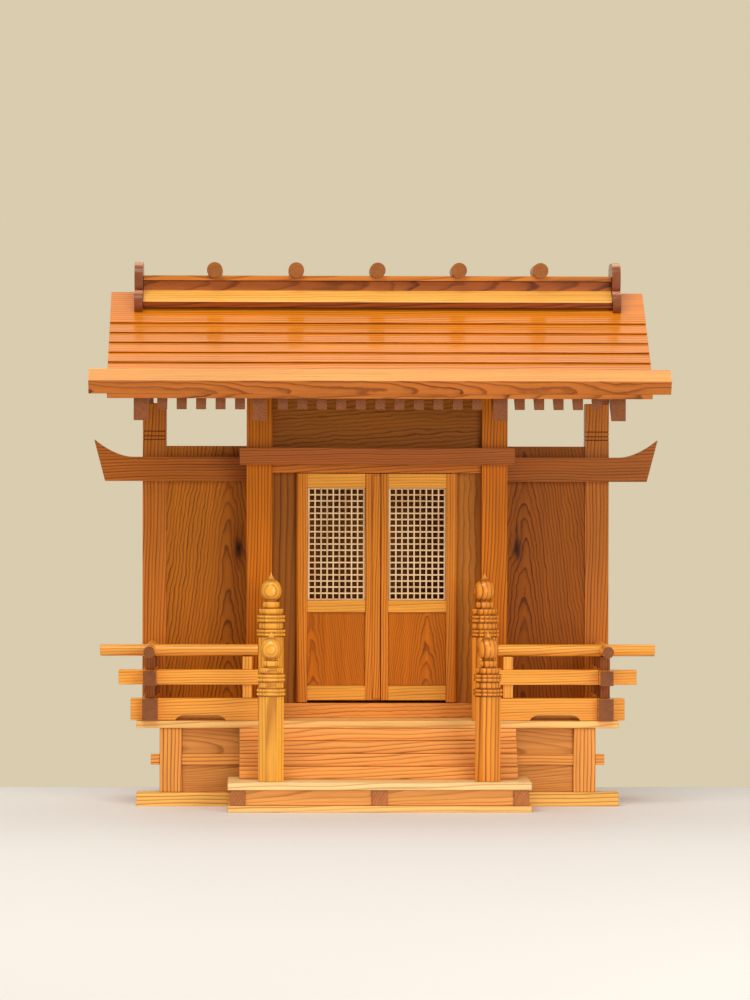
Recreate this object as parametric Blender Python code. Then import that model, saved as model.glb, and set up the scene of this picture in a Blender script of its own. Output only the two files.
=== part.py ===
"""A household Shinto shrine (kamidana) in solid wood, about 620 mm wide.

A single hall with two lattice doors stands on a railed deck. A flight of four steps
climbs to the deck, screens stand at both sides, and a gabled roof with a row of ridge
logs covers it. Units are metres, +Z is up and the front faces -Y.

Depths are measured from the front edge of the eave, y = 0, and grow towards the back.
The empty that carries every piece moves the whole so that its footprint is centred.
"""

import math

import bmesh
import bpy
from mathutils import Matrix, Vector

# Clearances
GAP = 0.0003
LEAF_GAP = 0.0009
PIN_GAP = 0.0004

# Roof slopes, whose thicknesses are square to the slope and whose drops are upright
EAVE_LENGTH = 0.620
ROOF_LENGTH = 0.581
ROOF_PITCH = math.radians(33.5)
RIDGE_Y = 0.155
BACK_RUN = 0.130
ROOF_APEX_Z = 0.5334
SHEATHING_THICKNESS = 0.0057
EAVE_THICKNESS = 0.0167
EAVE_WIDTH = 0.0228
SHINGLE_THICKNESS = 0.0134
SHINGLE_STEP = 0.0018
SHINGLE_EXPOSURE = 0.0197
TOP_BOARD_LEAST = 0.040

# Rafters
SMALL_RAFTER_WIDTH = 0.0107
SMALL_RAFTER_DROP = 0.0144
MAIN_RAFTER_WIDTH = 0.0155
MAIN_RAFTER_DROP = 0.0261
GABLE_OVERHANG = 0.036
OUTER_RAFTER_X = ROOF_LENGTH / 2 - GABLE_OVERHANG
RAFTER_PITCH = 0.0207
RAFTER_LEAST_GAP = 0.004
RAFTER_END_INSET = 0.0042
RAFTER_HOUSING = 0.0015

# Ridge
RIDGE_END_INSET = 0.0259
RIDGE_SPAN = ROOF_LENGTH - 2 * RIDGE_END_INSET
RIDGE_END_THICKNESS = 0.0092
RIDGE_FOOT = 0.022
RIDGE_BOARD_HALF = 0.0155
RIDGE_BOARD_RISE = 0.0102
FLASHING_REACH = 0.0339
FLASHING_LIFT = 0.0047
FLASHING_THICKNESS = 0.0069
CAP_HALF_DEPTH = 0.0215
CAP_THICKNESS = 0.0054
LOG_RADIUS = 0.0085
LOG_LENGTH = 0.056
LOG_PITCH = 0.0887
LOG_NOTCH = 0.0026
LOG_COUNT = 5
LOG_SEGMENTS = 20
END_FOOT = 0.034
END_LOWER_LOBE = 0.041
END_WAIST = 0.026
END_UPPER_LOBE = 0.031
END_TOP_HALF = 0.014
END_WAIST_RISE = 0.0235
END_HEIGHT = 0.0545
END_LOBE_STEPS = 6

# Base
SILL_HEIGHT = 0.015
SILL_WIDTH = 0.024
BASE_FRONT = 0.080
BASE_DEPTH = 0.190
BASE_SPAN = 0.471
SILL_OVERHANG = 0.025
SILL_LENGTH = BASE_SPAN + 2 * SILL_OVERHANG
BASE_POST = 0.024
BASE_POST_INSET = 0.002
DECK_UNDERSIDE = 0.084
DECK_THICKNESS = 0.008
TIE_OVERHANG = 0.0095
TIE_LENGTH = BASE_SPAN + 2 * TIE_OVERHANG
TIE_UNDERSIDE = 0.0445
TIE_HEIGHT = 0.0115
TIE_THICKNESS = 0.006
TIE_INSET = 0.0015
BASE_PANEL_INSET = 0.004
BASE_PANEL_THICKNESS = 0.007

# Stairs and the low platform in front of them
PLATFORM_WIDTH = 0.323
PLATFORM_FRONT = -0.010
PLATFORM_BOTTOM_BOARD = 0.007
PLATFORM_TOP_BOARD = 0.0085
BEARER_HEIGHT = 0.0165
BEARER_WIDTH = 0.0163
BEARER_INSET = 0.0025
BEARER_FRONT_INSET = 0.0015
PLATFORM_PANEL_INSET = 0.003
PLATFORM_PANEL_THICKNESS = 0.006
STAIR_WIDTH = 0.299
STAIR_COUNT = 4
STAIR_FRONT = 0.038
STAIR_GOING = 0.0124

# Finial posts
FINIAL_X = 0.1155
FINIAL_FRONT_Y = 0.012
FINIAL_BACK_Y = 0.094
FINIAL_SHAFT = 0.027
FINIAL_SHAFT_HEIGHT = 0.090
FINIAL_SEGMENTS = 16
COLLAR_GROOVE = 0.0009
BULB_NECK = 0.0058
BULB_NECK_HEIGHT = 0.0014
BULB_RADIUS = 0.0114
BULB_LOWER = 0.0098
BULB_UPPER = 0.0132
BULB_LOWER_STEPS = 3
BULB_UPPER_STEPS = 4
SPIRE_FOOT = 0.0042
SPIRE_WAIST = 0.0015
SPIRE_TIP = 0.0005
SPIRE_HEIGHT = 0.0072

# Collars above the shaft: gap below, height, half width at the foot and at the head
FINIAL_COLLARS = (
    (0.0012, 0.0028, 0.0153, 0.0153),
    (0.0012, 0.0028, 0.0153, 0.0153),
    (0.0010, 0.0064, 0.0132, 0.0132),
    (0.0010, 0.0031, 0.0150, 0.0150),
    (0.0012, 0.0029, 0.0150, 0.0150),
    (0.0010, 0.0060, 0.0124, 0.0136),
    (0.0010, 0.0064, 0.0090, 0.0090),
)

# Railing
RAIL_X = 0.246
RAIL_Y = 0.093
BOTTOM_RAIL_HEIGHT = 0.0242
BOTTOM_RAIL_WIDTH = 0.0167
BOTTOM_RAIL_END = 0.0210
MIDDLE_RAIL_Z = 0.139
MIDDLE_RAIL_HEIGHT = 0.016
MIDDLE_RAIL_WIDTH = 0.0144
MIDDLE_RAIL_END = 0.034
TOP_RAIL_Z = 0.168
TOP_RAIL_DIAMETER = 0.0127
TOP_RAIL_END = 0.054
TOP_RAIL_SEGMENTS = 16
RAIL_POST = 0.0106
RAIL_POST_X = 0.141
RAIL_POST_DEPTHS = (0.139, 0.182)
SCUPPER_X = 0.1916
SCUPPER_WIDTH = 0.0544
SCUPPER_TOP_WIDTH = 0.0434
SCUPPER_HEIGHT = 0.0056

# Hall
HALL_POST = 0.028
HALL_POST_X = 0.1284
HALL_FRONT = 0.140
HALL_BACK = 0.262
WALL_THICKNESS = 0.008
HEAD_BEAM_LENGTH = 0.3006
HEAD_BEAM_UNDERSIDE = 0.3683
HEAD_BEAM_HEIGHT = 0.0188
HEAD_BEAM_THICKNESS = 0.010
DOOR_SILL_HEIGHT = 0.0156
DOOR_FRAME_INSET = 0.006
DOOR_FRAME_DEPTH = 0.020
LINTEL_HEIGHT = 0.0164
TRANSOM_INSET = 0.010
TRANSOM_THICKNESS = 0.006
FRONT_PANEL_THICKNESS = 0.006
FRONT_PANEL_LAP = 0.008
FRONT_PANEL_BEHIND = 0.0015

# Doors
DOOR_PAIR_WIDTH = 0.1758
DOOR_HEIGHT = 0.2479
DOOR_LIFT = 0.0032
LEAF_THICKNESS = 0.009
LEAF_INSET = 0.002
HANGING_STILE = 0.012
MEETING_STILE = 0.0083
TOP_RAIL_OF_DOOR = 0.0157
MIDDLE_RAIL_OF_DOOR = 0.0132
BOTTOM_RAIL_OF_DOOR = 0.016
DOOR_PANEL_HEIGHT = 0.0802
DOOR_PANEL_THICKNESS = 0.004
DOOR_RAIL_INSET = 0.0004
LATTICE_THICKNESS = 0.003
LATTICE_COLUMNS = 9
LATTICE_ROWS = 18
LATTICE_BAR = 0.0018
LATTICE_SIDE_MARGIN = 0.0022
LATTICE_END_MARGIN = 0.0013
DOOR_TENON = 0.003
STRIP_WIDTH = 0.0085
STRIP_PROUD = 0.002
STRIP_SHORT = 0.0018
PIN_RADIUS = 0.002
PIN_LENGTH = 0.005
PIN_SEGMENTS = 12
STILE_ARC_STEPS = 8

# Side screens
SCREEN_POST = 0.026
SCREEN_X = 0.244
SCREEN_POST_FRONT = 0.192
SCREEN_POST_HEIGHT = 0.3437
SCREEN_GROOVES = (0.0309, 0.0361, 0.0400)
SCREEN_GROOVE_WIDTH = 0.0014
SCREEN_GROOVE_DEPTH = 0.0008
SCREEN_PANEL_HEIGHT = 0.2966
SCREEN_PANEL_INSET = 0.002
SCREEN_PANEL_THICKNESS = 0.006
SCREEN_CAP_Z = 0.2579
SCREEN_CAP_HEIGHT = 0.0267
SCREEN_CAP_THICKNESS = 0.012
SCREEN_CAP_TIP = 0.310
SCREEN_CAP_HEEL = 0.298
SCREEN_CAP_CURVE_START = 0.268
SCREEN_CAP_RISE = 0.019
SCREEN_CAP_CURVE_STEPS = 6
SCREEN_CAP_CURVE_POWER = 1.8

# Finish: sRGB colour and roughness of each kind of board
PALE_BOARD = ((0.95, 0.74, 0.46), 0.40)
ORANGE_BOARD = ((0.89, 0.58, 0.30), 0.35)
GOLD_BOARD = ((0.92, 0.65, 0.33), 0.35)
BROWN_BOARD = ((0.66, 0.40, 0.20), 0.42)
RED_BROWN_BOARD = ((0.70, 0.40, 0.26), 0.45)
DARK_BOARD = ((0.54, 0.36, 0.20), 0.45)
LATTICE_WOOD = ((0.91, 0.78, 0.56), 0.45)

# Worked out from the sizes above
DECK_TOP = DECK_UNDERSIDE + DECK_THICKNESS
BASE_BACK = BASE_FRONT + BASE_DEPTH
BASE_MIDDLE_Y = (BASE_FRONT + BASE_BACK) / 2
PLATFORM_TOP = PLATFORM_BOTTOM_BOARD + BEARER_HEIGHT + PLATFORM_TOP_BOARD
PLATFORM_BACK = BASE_FRONT - GAP
STAIR_BACK = BASE_FRONT + BASE_POST_INSET + TIE_INSET - GAP
HALL_OPENING = HALL_POST_X - HALL_POST / 2
WALL_OUTER = HALL_POST_X + WALL_THICKNESS / 2
DOOR_SILL_TOP = DECK_TOP + DOOR_SILL_HEIGHT
LEAF_FRONT = HALL_FRONT + DOOR_FRAME_INSET + LEAF_INSET
LEAF_MIDDLE_Y = LEAF_FRONT + LEAF_THICKNESS / 2
DOOR_BOTTOM = DOOR_SILL_TOP + DOOR_LIFT
DOOR_TOP = DOOR_BOTTOM + DOOR_HEIGHT
LINTEL_UNDERSIDE = DOOR_TOP + LEAF_GAP
HINGE_X = DOOR_PAIR_WIDTH / 2 - LEAF_THICKNESS / 2
SCREEN_CAP_BACK = SCREEN_POST_FRONT - GAP
SHINGLE_BASE = SHEATHING_THICKNESS + GAP
SHINGLE_TOP = SHINGLE_BASE + SHINGLE_THICKNESS
EAVE_TOP = SHINGLE_BASE + EAVE_THICKNESS
FOOTPRINT_MIDDLE = (PLATFORM_FRONT + RIDGE_Y + BACK_RUN) / 2

FRONT = -1
BACK = 1
LEFT = -1
RIGHT = 1
SIDE_NAMES = {LEFT: "left", RIGHT: "right"}


def clear_scene():
    """Remove the objects that the scene starts with."""
    for item in list(bpy.data.objects):
        bpy.data.objects.remove(item, do_unlink=True)


def linear(channel):
    """One sRGB channel as the linear value that a shader takes."""
    if channel <= 0.04045:
        return channel / 12.92
    return ((channel + 0.055) / 1.055) ** 2.4


def wood(name, finish):
    """A varnished wood of the given sRGB colour and roughness."""
    colour, roughness = finish
    material = bpy.data.materials.new(name + "_wood")
    material.use_nodes = True
    shader = material.node_tree.nodes["Principled BSDF"]
    shader.inputs["Base Color"].default_value = [linear(c) for c in colour] + [1.0]
    shader.inputs["Roughness"].default_value = roughness
    shader.inputs["Metallic"].default_value = 0.0
    return material


def new_piece(name, shape):
    """An object in the scene from a bmesh, with its faces pointing out."""
    bmesh.ops.recalc_face_normals(shape, faces=shape.faces)
    mesh = bpy.data.meshes.new(name)
    shape.to_mesh(mesh)
    shape.free()
    piece = bpy.data.objects.new(name, mesh)
    bpy.context.collection.objects.link(piece)
    return piece


def block(name, low, high):
    """A rectangular block between two corners, its origin at its centre."""
    low = Vector(low)
    high = Vector(high)
    shape = bmesh.new()
    bmesh.ops.create_cube(shape, size=1.0)
    bmesh.ops.scale(shape, vec=high - low, verts=shape.verts)
    piece = new_piece(name, shape)
    piece.location = (low + high) / 2
    return piece


def prism(name, outline, axis, low, high):
    """An outline pushed along an axis. Its points leave that axis out, in x, y, z order."""
    shape = bmesh.new()
    corners = []
    for first, second in outline:
        point = [first, second]
        point.insert("xyz".index(axis), low)
        corners.append(shape.verts.new(point))
    face = shape.faces.new(corners)
    pushed = bmesh.ops.extrude_face_region(shape, geom=[face])
    push = Vector((0.0, 0.0, 0.0))
    push["xyz".index(axis)] = high - low
    moved = [item for item in pushed["geom"] if isinstance(item, bmesh.types.BMVert)]
    bmesh.ops.translate(shape, vec=push, verts=moved)
    return new_piece(name, shape)


def rod(name, start, end, radius, segments):
    """A round bar between two points, with a flat facet on top and bottom."""
    start = Vector(start)
    end = Vector(end)
    way = end - start
    turn = way.to_track_quat("Z", "Y").to_matrix().to_4x4()
    half_facet = Matrix.Rotation(math.pi / segments, 4, "Z")
    place = Matrix.Translation((start + end) / 2) @ turn @ half_facet
    shape = bmesh.new()
    bmesh.ops.create_cone(
        shape,
        cap_ends=True,
        segments=segments,
        radius1=radius,
        radius2=radius,
        depth=way.length,
        matrix=place,
    )
    return new_piece(name, shape)


def stack(name, rings):
    """A closed body through rings of points, all with the same number of points."""
    shape = bmesh.new()
    loops = []
    for ring in rings:
        loops.append([shape.verts.new(point) for point in ring])
    for lower, upper in zip(loops, loops[1:]):
        for index in range(len(lower)):
            after = (index + 1) % len(lower)
            shape.faces.new((lower[index], lower[after], upper[after], upper[index]))
    shape.faces.new(list(reversed(loops[0])))
    shape.faces.new(loops[-1])
    return new_piece(name, shape)


def cell_plate(name, us, vs, filled, axis, low, high):
    """A plate made of the filled cells of a grid, pushed along an axis from low to high."""
    shape = bmesh.new()
    corners = {}

    def corner(i, j, level):
        key = (i, j, level)
        if key not in corners:
            point = [us[i], vs[j]]
            point.insert("xyz".index(axis), level)
            corners[key] = shape.verts.new(point)
        return corners[key]

    cells = [(i, j) for i in range(len(us) - 1) for j in range(len(vs) - 1) if filled(i, j)]
    for i, j in cells:
        around = ((i, j), (i + 1, j), (i + 1, j + 1), (i, j + 1))
        neighbours = ((i, j - 1), (i + 1, j), (i, j + 1), (i - 1, j))
        for level in (low, high):
            shape.faces.new([corner(a, b, level) for a, b in around])
        for index, beside in enumerate(neighbours):
            if beside in cells:
                continue
            here = around[index]
            there = around[(index + 1) % 4]
            shape.faces.new(
                (corner(*here, low), corner(*there, low), corner(*there, high), corner(*here, high))
            )
    return new_piece(name, shape)


def combine(piece, tool, operation):
    """Join a tool to a piece, or cut it out of the piece, and drop the tool."""
    change = piece.modifiers.new("combine", "BOOLEAN")
    change.operation = operation
    change.solver = "EXACT"
    change.object = tool
    evaluated = piece.evaluated_get(bpy.context.evaluated_depsgraph_get())
    mesh = bpy.data.meshes.new_from_object(evaluated)
    piece.modifiers.clear()
    plain = piece.data
    piece.data = mesh
    bpy.data.meshes.remove(plain)
    bpy.data.objects.remove(tool, do_unlink=True)


def join(piece, *tools):
    """Fuse several shapes into one body."""
    for tool in tools:
        combine(piece, tool, "UNION")
    return piece


def cut(piece, *tools):
    """Cut several shapes out of one body."""
    for tool in tools:
        combine(piece, tool, "DIFFERENCE")
    return piece


def ease_edges(piece, width):
    """Plane a small flat along the sharp edges of a board."""
    bevel = piece.modifiers.new("eased_edges", "BEVEL")
    bevel.width = width
    bevel.segments = 1
    bevel.limit_method = "ANGLE"
    bevel.angle_limit = math.radians(50)


def smooth(piece, angle=35):
    """Shade a round piece smooth, with its sharp edges kept."""
    piece.data.shade_smooth()
    piece.data.set_sharp_from_angle(angle=math.radians(angle))


def finish(piece, parent, finish_kind, eased=0.0):
    """Give a piece its wood, its parent and an origin at the middle of its underside."""
    placed = piece.matrix_basis.copy()
    piece.data.transform(placed)
    corners = [vertex.co for vertex in piece.data.vertices]
    low = Vector([min(c[k] for c in corners) for k in range(3)])
    high = Vector([max(c[k] for c in corners) for k in range(3)])
    origin = Vector(((low.x + high.x) / 2, (low.y + high.y) / 2, low.z))
    piece.data.transform(Matrix.Translation(-origin))
    piece.matrix_basis = Matrix.Translation(origin)
    piece.parent = parent
    if parent.parent is not None:
        piece.location = origin - parent.location
    piece.data.materials.clear()
    piece.data.materials.append(wood(piece.name, finish_kind))
    if eased > 0.0:
        ease_edges(piece, eased)
    return piece


def gather(name, pieces):
    """One tool from several shapes that stand apart."""
    shape = bmesh.new()
    for piece in pieces:
        placed = piece.data.copy()
        placed.transform(piece.matrix_basis)
        shape.from_mesh(placed)
        bpy.data.meshes.remove(placed)
        bpy.data.objects.remove(piece, do_unlink=True)
    return new_piece(name, shape)


# Roof geometry, shared by the roof and by everything that reaches up to it

def slope_point(side, along, above):
    """A point (y, z) at a distance down a slope and above its sheathing's underside."""
    run = along * math.cos(ROOF_PITCH) + above * math.sin(ROOF_PITCH)
    height = above * math.cos(ROOF_PITCH) - along * math.sin(ROOF_PITCH)
    return (RIDGE_Y + side * run, ROOF_APEX_Z + height)


def slope_length(side):
    """Length of the sheathing from the ridge to its eave edge."""
    run = RIDGE_Y if side == FRONT else BACK_RUN
    return (run - EAVE_TOP * math.sin(ROOF_PITCH)) / math.cos(ROOF_PITCH)


def ridge_cut(above):
    """Where a layer of the roof ends on the upright plane through the ridge."""
    return (GAP / 2 - above * math.sin(ROOF_PITCH)) / math.cos(ROOF_PITCH)


def under_roof(y, drop):
    """Height of the line that runs an upright drop below the sheathing's underside."""
    return ROOF_APEX_Z - math.tan(ROOF_PITCH) * abs(y - RIDGE_Y) - drop


def over_roof(reach):
    """Seat on the shingles at a distance in front of or behind the ridge."""
    above = (SHINGLE_TOP + GAP) / math.cos(ROOF_PITCH)
    return ROOF_APEX_Z + above - math.tan(ROOF_PITCH) * reach


def roof_line(front, back, drop):
    """Top of an upright board that reaches up to rafters, from its back to its front."""
    seat = drop + GAP / math.cos(ROOF_PITCH)
    depths = [back, front]
    if front < RIDGE_Y < back:
        depths.insert(1, RIDGE_Y)
    return [(y, under_roof(y, seat)) for y in depths]


def mirrored_outline(half):
    """A closed outline (y, z) from its half (reach, z), which starts on the ridge plane."""
    ahead = [(RIDGE_Y - reach, z) for reach, z in half]
    behind = [(RIDGE_Y + reach, z) for reach, z in reversed(half[1:])]
    return ahead + behind


# Base

def build_ground_sill(parent):
    """The sleeper frame on the ground, whose front beam runs past the posts."""

    def filled(i, j):
        if j == 0:
            return True
        return i in (1, 3) or (i == 2 and j == 2)

    xs = [
        -SILL_LENGTH / 2,
        -BASE_SPAN / 2,
        -BASE_SPAN / 2 + SILL_WIDTH,
        BASE_SPAN / 2 - SILL_WIDTH,
        BASE_SPAN / 2,
        SILL_LENGTH / 2,
    ]
    ys = [BASE_FRONT, BASE_FRONT + SILL_WIDTH, BASE_BACK - SILL_WIDTH, BASE_BACK]
    sill = cell_plate("ground_sill", xs, ys, filled, "z", 0.0, SILL_HEIGHT)
    finish(sill, parent, PALE_BOARD)


def build_base_framing(parent):
    """Four corner posts and the tie rails between them; the front one runs past its posts."""
    front = BASE_FRONT + BASE_POST_INSET
    back = BASE_BACK - BASE_POST_INSET
    between = (BASE_SPAN - BASE_POST) / 2
    posts = []
    for x in (-BASE_SPAN / 2, BASE_SPAN / 2 - BASE_POST):
        for y in (front, back - BASE_POST):
            low = (x, y, SILL_HEIGHT + GAP)
            posts.append(block("post", low, (x + BASE_POST, y + BASE_POST, DECK_UNDERSIDE)))
    tie_top = TIE_UNDERSIDE + TIE_HEIGHT
    ties = []
    front_tie = (front + TIE_INSET, TIE_LENGTH / 2)
    back_tie = (back - TIE_INSET - TIE_THICKNESS, between)
    for y, reach in (front_tie, back_tie):
        low = (-reach, y, TIE_UNDERSIDE)
        ties.append(block("tie", low, (reach, y + TIE_THICKNESS, tie_top)))
    for x in (TIE_INSET - BASE_SPAN / 2, BASE_SPAN / 2 - TIE_INSET - TIE_THICKNESS):
        low = (x, front + BASE_POST / 2, TIE_UNDERSIDE)
        ties.append(block("tie", low, (x + TIE_THICKNESS, back - BASE_POST / 2, tie_top)))
    framing = join(gather("base_framing", posts), gather("ties", ties))
    finish(framing, parent, ORANGE_BOARD)


def base_panel(name, parent, length, centre, turn):
    """A board between two base posts, housed over the tie rail in front of it."""
    housing = TIE_INSET + TIE_THICKNESS - BASE_PANEL_INSET + GAP
    low = SILL_HEIGHT + GAP
    tie_top = TIE_UNDERSIDE + TIE_HEIGHT
    outline = [
        (0.0, low),
        (BASE_PANEL_THICKNESS, low),
        (BASE_PANEL_THICKNESS, DECK_UNDERSIDE),
        (0.0, DECK_UNDERSIDE),
        (0.0, tie_top + GAP),
        (housing, tie_top + GAP),
        (housing, TIE_UNDERSIDE - GAP),
        (0.0, TIE_UNDERSIDE - GAP),
    ]
    panel = prism(name, outline, "x", -length / 2, length / 2)
    panel.matrix_basis = Matrix.Translation(centre) @ Matrix.Rotation(turn, 4, "Z")
    finish(panel, parent, ORANGE_BOARD)


def build_base_panels(parent):
    """The four boards that close the base between its posts."""
    inset = BASE_POST_INSET + BASE_PANEL_INSET
    wide = BASE_SPAN - 2 * BASE_POST - 2 * GAP
    deep = BASE_DEPTH - 2 * BASE_POST_INSET - 2 * BASE_POST - 2 * GAP
    side_x = BASE_SPAN / 2 - BASE_PANEL_INSET
    quarter = math.pi / 2
    base_panel("base_panel_front", parent, wide, Vector((0, BASE_FRONT + inset, 0)), 0.0)
    base_panel("base_panel_back", parent, wide, Vector((0, BASE_BACK - inset, 0)), 2 * quarter)
    base_panel("base_panel_left", parent, deep, Vector((-side_x, BASE_MIDDLE_Y, 0)), -quarter)
    base_panel("base_panel_right", parent, deep, Vector((side_x, BASE_MIDDLE_Y, 0)), quarter)


def build_deck(parent):
    """The floor board under the hall and the railed walk."""
    low = (-SILL_LENGTH / 2, BASE_FRONT, DECK_UNDERSIDE + GAP)
    deck = block("deck", low, (SILL_LENGTH / 2, BASE_BACK, DECK_TOP))
    finish(deck, parent, PALE_BOARD, eased=0.0005)


def build_platform(parent):
    """The low platform: two boards with three bearers and a set-back front between them."""
    half = PLATFORM_WIDTH / 2
    low = (-half, PLATFORM_FRONT, 0.0)
    bottom = block("platform_bottom", low, (half, PLATFORM_BACK, PLATFORM_BOTTOM_BOARD))
    finish(bottom, parent, PALE_BOARD, eased=0.0005)
    bearer_top = PLATFORM_BOTTOM_BOARD + BEARER_HEIGHT
    low = (-half, PLATFORM_FRONT, bearer_top + GAP)
    top = block("platform_top", low, (half, PLATFORM_BACK, PLATFORM_TOP))
    finish(top, parent, PALE_BOARD, eased=0.0005)
    outer = half - BEARER_INSET
    xs = [
        -outer,
        BEARER_WIDTH - outer,
        -BEARER_WIDTH / 2,
        BEARER_WIDTH / 2,
        outer - BEARER_WIDTH,
        outer,
    ]
    front = PLATFORM_FRONT + BEARER_FRONT_INSET
    panel = front + PLATFORM_PANEL_INSET
    ys = [front, panel, panel + PLATFORM_PANEL_THICKNESS, PLATFORM_BACK]
    core = cell_plate(
        "platform_core",
        xs,
        ys,
        lambda i, j: i % 2 == 0 or j == 1,
        "z",
        PLATFORM_BOTTOM_BOARD + GAP,
        bearer_top,
    )
    finish(core, parent, RED_BROWN_BOARD)


def build_stairs(parent):
    """Solid steps, each laid on the one below and pushed up to the base."""
    riser = (DECK_UNDERSIDE - PLATFORM_TOP) / STAIR_COUNT
    for index in range(STAIR_COUNT):
        base = PLATFORM_TOP + index * riser
        low = (-STAIR_WIDTH / 2, STAIR_FRONT + index * STAIR_GOING, base + GAP)
        step = block(f"stair_step_{index + 1}", low, (STAIR_WIDTH / 2, STAIR_BACK, base + riser))
        finish(step, parent, ORANGE_BOARD, eased=0.0006)


# Finial posts

def octagon_ring(half, z):
    """Points of an octagon with a flat to the front, two to each side."""
    points = []
    for index in range(FINIAL_SEGMENTS):
        angle = 2 * math.pi * index / FINIAL_SEGMENTS
        radius = half if index % 2 == 0 else half / math.cos(math.pi / 8)
        points.append((radius * math.cos(angle), radius * math.sin(angle), z))
    return points


def round_ring(radius, z):
    """Points of a circle that match an octagon ring's."""
    points = []
    for index in range(FINIAL_SEGMENTS):
        angle = 2 * math.pi * index / FINIAL_SEGMENTS
        points.append((radius * math.cos(angle), radius * math.sin(angle), z))
    return points


def finial_rings():
    """The turned outline, from the foot of the shaft to the tip of the bulb."""
    half = FINIAL_SHAFT / 2
    rings = [octagon_ring(half, 0.0), octagon_ring(half, FINIAL_SHAFT_HEIGHT)]
    top = FINIAL_SHAFT_HEIGHT
    edge = half
    for gap, height, foot, head in FINIAL_COLLARS:
        if abs(foot - edge) < 2 * COLLAR_GROOVE:
            groove = min(foot, edge) - COLLAR_GROOVE
            rings.append(octagon_ring(groove, top + gap / 2))
        rings.append(octagon_ring(foot, top + gap))
        rings.append(octagon_ring(head, top + gap + height))
        top += gap + height
        edge = head
    rings.append(round_ring(BULB_NECK, top + COLLAR_GROOVE / 2))
    rings += bulb_rings(top + BULB_NECK_HEIGHT)
    return rings


def bulb_rings(base):
    """The bulb, widest above its neck, with a spire that draws in to a point."""
    widest = base + BULB_LOWER
    below = math.acos(BULB_NECK / BULB_RADIUS)
    above = math.acos(SPIRE_FOOT / BULB_RADIUS)
    rings = []
    for index in range(BULB_LOWER_STEPS, 0, -1):
        turn = below * index / BULB_LOWER_STEPS
        level = widest - BULB_LOWER * math.sin(turn) / math.sin(below)
        rings.append(round_ring(BULB_RADIUS * math.cos(turn), level))
    for index in range(BULB_UPPER_STEPS + 1):
        turn = above * index / BULB_UPPER_STEPS
        level = widest + BULB_UPPER * math.sin(turn) / math.sin(above)
        rings.append(round_ring(BULB_RADIUS * math.cos(turn), level))
    foot = widest + BULB_UPPER
    rings.append(round_ring(SPIRE_WAIST, foot + SPIRE_HEIGHT / 2))
    rings.append(round_ring(SPIRE_TIP, foot + SPIRE_HEIGHT))
    return rings


def build_finial_posts(parent):
    """Four posts with onion finials: two on the platform and two on the deck."""
    rows = (("front", FINIAL_FRONT_Y, PLATFORM_TOP), ("back", FINIAL_BACK_Y, DECK_TOP))
    for row, y, floor in rows:
        for side in (LEFT, RIGHT):
            post = stack(f"finial_post_{row}_{SIDE_NAMES[side]}", finial_rings())
            smooth(post, 30)
            post.location = (side * FINIAL_X, y, floor + GAP)
            finish(post, parent, GOLD_BOARD)


# Railing

def rail_corner(name, side, width, end, low, high):
    """A rail along the front and one along the side, halved where they cross."""
    start = FINIAL_X + FINIAL_SHAFT / 2 + GAP
    xs = [start, RAIL_X - width / 2, RAIL_X + width / 2, RAIL_X + end]
    ys = [
        RAIL_Y - end,
        RAIL_Y - width / 2,
        RAIL_Y + width / 2,
        SCREEN_POST_FRONT - GAP,
    ]
    signed = [side * x for x in xs]
    return cell_plate(name, signed, ys, lambda i, j: i == 1 or j == 1, "z", low, high)


def build_bottom_rail(side, parent):
    """The deep rail on the deck, with a long shallow cut-out under its front."""
    low = DECK_TOP + GAP
    high = DECK_TOP + BOTTOM_RAIL_HEIGHT
    name = f"rail_bottom_{SIDE_NAMES[side]}"
    rail = rail_corner(name, side, BOTTOM_RAIL_WIDTH, BOTTOM_RAIL_END, low, high)
    middle = side * SCUPPER_X
    outline = [
        (middle - SCUPPER_WIDTH / 2, low - SCUPPER_HEIGHT),
        (middle - SCUPPER_WIDTH / 2, low),
        (middle - SCUPPER_TOP_WIDTH / 2, low + SCUPPER_HEIGHT),
        (middle + SCUPPER_TOP_WIDTH / 2, low + SCUPPER_HEIGHT),
        (middle + SCUPPER_WIDTH / 2, low),
        (middle + SCUPPER_WIDTH / 2, low - SCUPPER_HEIGHT),
    ]
    front = RAIL_Y - BOTTOM_RAIL_WIDTH
    cut(rail, prism("cut_out", outline, "y", front, RAIL_Y + BOTTOM_RAIL_WIDTH))
    finish(rail, parent, GOLD_BOARD)


def build_middle_rail(side, parent):
    """The middle rail with the small posts that stand through it."""
    low = MIDDLE_RAIL_Z - MIDDLE_RAIL_HEIGHT / 2
    high = MIDDLE_RAIL_Z + MIDDLE_RAIL_HEIGHT / 2
    name = f"rail_middle_{SIDE_NAMES[side]}"
    rail = rail_corner(name, side, MIDDLE_RAIL_WIDTH, MIDDLE_RAIL_END, low, high)
    places = [(RAIL_X, RAIL_Y), (RAIL_POST_X, RAIL_Y)]
    places += [(RAIL_X, depth) for depth in RAIL_POST_DEPTHS]
    foot = DECK_TOP + BOTTOM_RAIL_HEIGHT + GAP
    head = TOP_RAIL_Z - TOP_RAIL_DIAMETER / 2 - GAP
    half = RAIL_POST / 2
    posts = []
    for x, y in places:
        low_corner = (side * x - half, y - half, foot)
        posts.append(block("post", low_corner, (side * x + half, y + half, head)))
    join(rail, gather("posts", posts))
    finish(rail, parent, GOLD_BOARD)


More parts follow.
